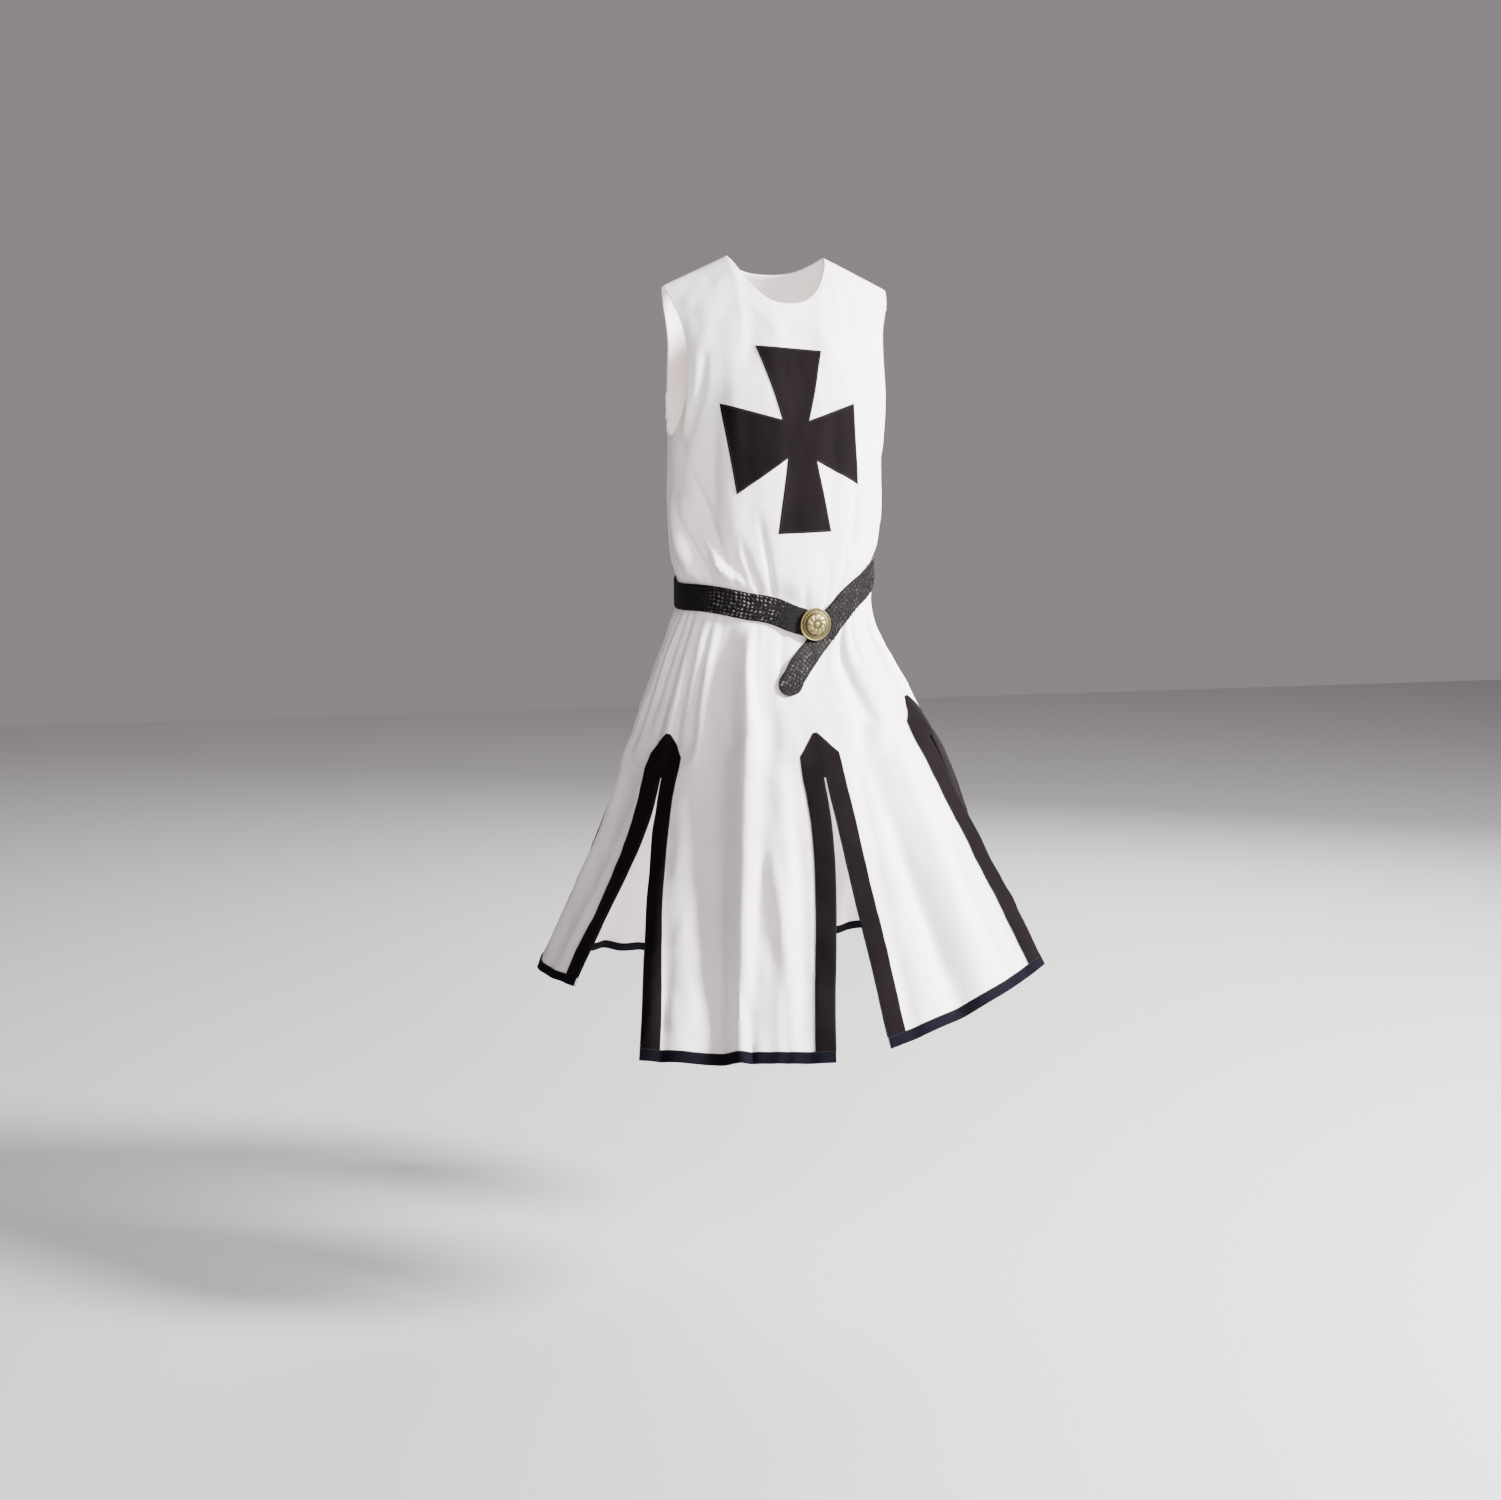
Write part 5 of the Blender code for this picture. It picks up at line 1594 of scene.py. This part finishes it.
bm.faces.new(tuple(reversed(rings[0])))
rub_values = [rub_of[vert] for vert in bm.verts]
mesh = bpy.data.meshes.new("clasp_brass")
bm.to_mesh(mesh)
bm.free()
mesh.attributes.new("rub", "FLOAT", "POINT").data.foreach_set("value", rub_values)
mesh.materials.append(aged_brass())
mesh.shade_smooth()
mesh.set_sharp_from_angle(angle=math.radians(SHARP))
buckle = add_object("clasp_brass", mesh)
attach(buckle, "root")
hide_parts("belt_buckle")


# Studio: a plain pale floor and soft light.  The key light comes from the tabard's left and
# rakes across the folds; a weak one fills the front, one lights the left of the back, and a
# narrow one the chest.  The camera stands where the photograph was taken.
FLOOR_HEIGHT, FLOOR_HALF = -1.53, 8
CAMERA_PLACE = (-1.0866, -3.4323, -0.29)
CAMERA_PITCH, CAMERA_TURN = 82.96, -17
CAMERA_LENS = 57.42
Light = namedtuple("Light", "name kind place aim power settings")
LIGHTS = [
    Light("key", "AREA", (3.1, -2.1, 1.1), (0.0, 0.0, -0.5), 1120, {"shape": "DISK", "size": 1.0}),
    Light("front", "AREA", (0.6, -4.2, 1.9), (0.0, 0.0, -0.4), 95, {"shape": "DISK", "size": 1.4}),
    Light("back", "AREA", (2.3, 2.9, 1.2), (0.0, 0.0, -0.5), 260, {"shape": "DISK", "size": 1.4}),
    Light("chest", "SPOT", (-0.8, -3.4, 0.6), (-0.09, -0.1, -0.30), 345,
          {"spot_size": math.radians(13), "spot_blend": 1, "shadow_soft_size": 0.3}),
]

# Painted board: a flat pale grey without a pattern.
board, tree, surface = new_material("pale_floor")
fill(tree, surface, {"Base Color": linear("#bdbbbb"), "Roughness": 0.9})
mesh = bpy.data.meshes.new("floor")
mesh.from_pydata([(x * FLOOR_HALF, y * FLOOR_HALF, FLOOR_HEIGHT)
                  for x, y in ((-1, -1), (1, -1), (1, 1), (-1, 1))], [], [(0, 1, 2, 3)])
mesh.materials.append(board)
floor = add_object("floor", mesh)

for light in LIGHTS:
    lamp = bpy.data.lights.new(light.name, light.kind)
    lamp.energy = light.power
    for key, value in light.settings.items():
        setattr(lamp, key, value)
    hung = add_object(light.name, lamp)
    hung.location = light.place
    aim = Vector(light.aim) - Vector(light.place)
    hung.rotation_euler = aim.to_track_quat("-Z", "Y").to_euler()

world = bpy.data.worlds.new("studio")
bpy.context.scene.world = world
world.use_nodes = True
fill(world.node_tree, world.node_tree.nodes["Background"],
     {"Color": linear("#ede0e7"), "Strength": 0.33})

camera_data = bpy.data.cameras.new("camera")
camera_data.lens = CAMERA_LENS
camera_data.sensor_fit = "HORIZONTAL"
camera = add_object("camera", camera_data)
camera.location = CAMERA_PLACE
camera.rotation_euler = (math.radians(CAMERA_PITCH), 0, math.radians(CAMERA_TURN))
bpy.context.scene.camera = camera
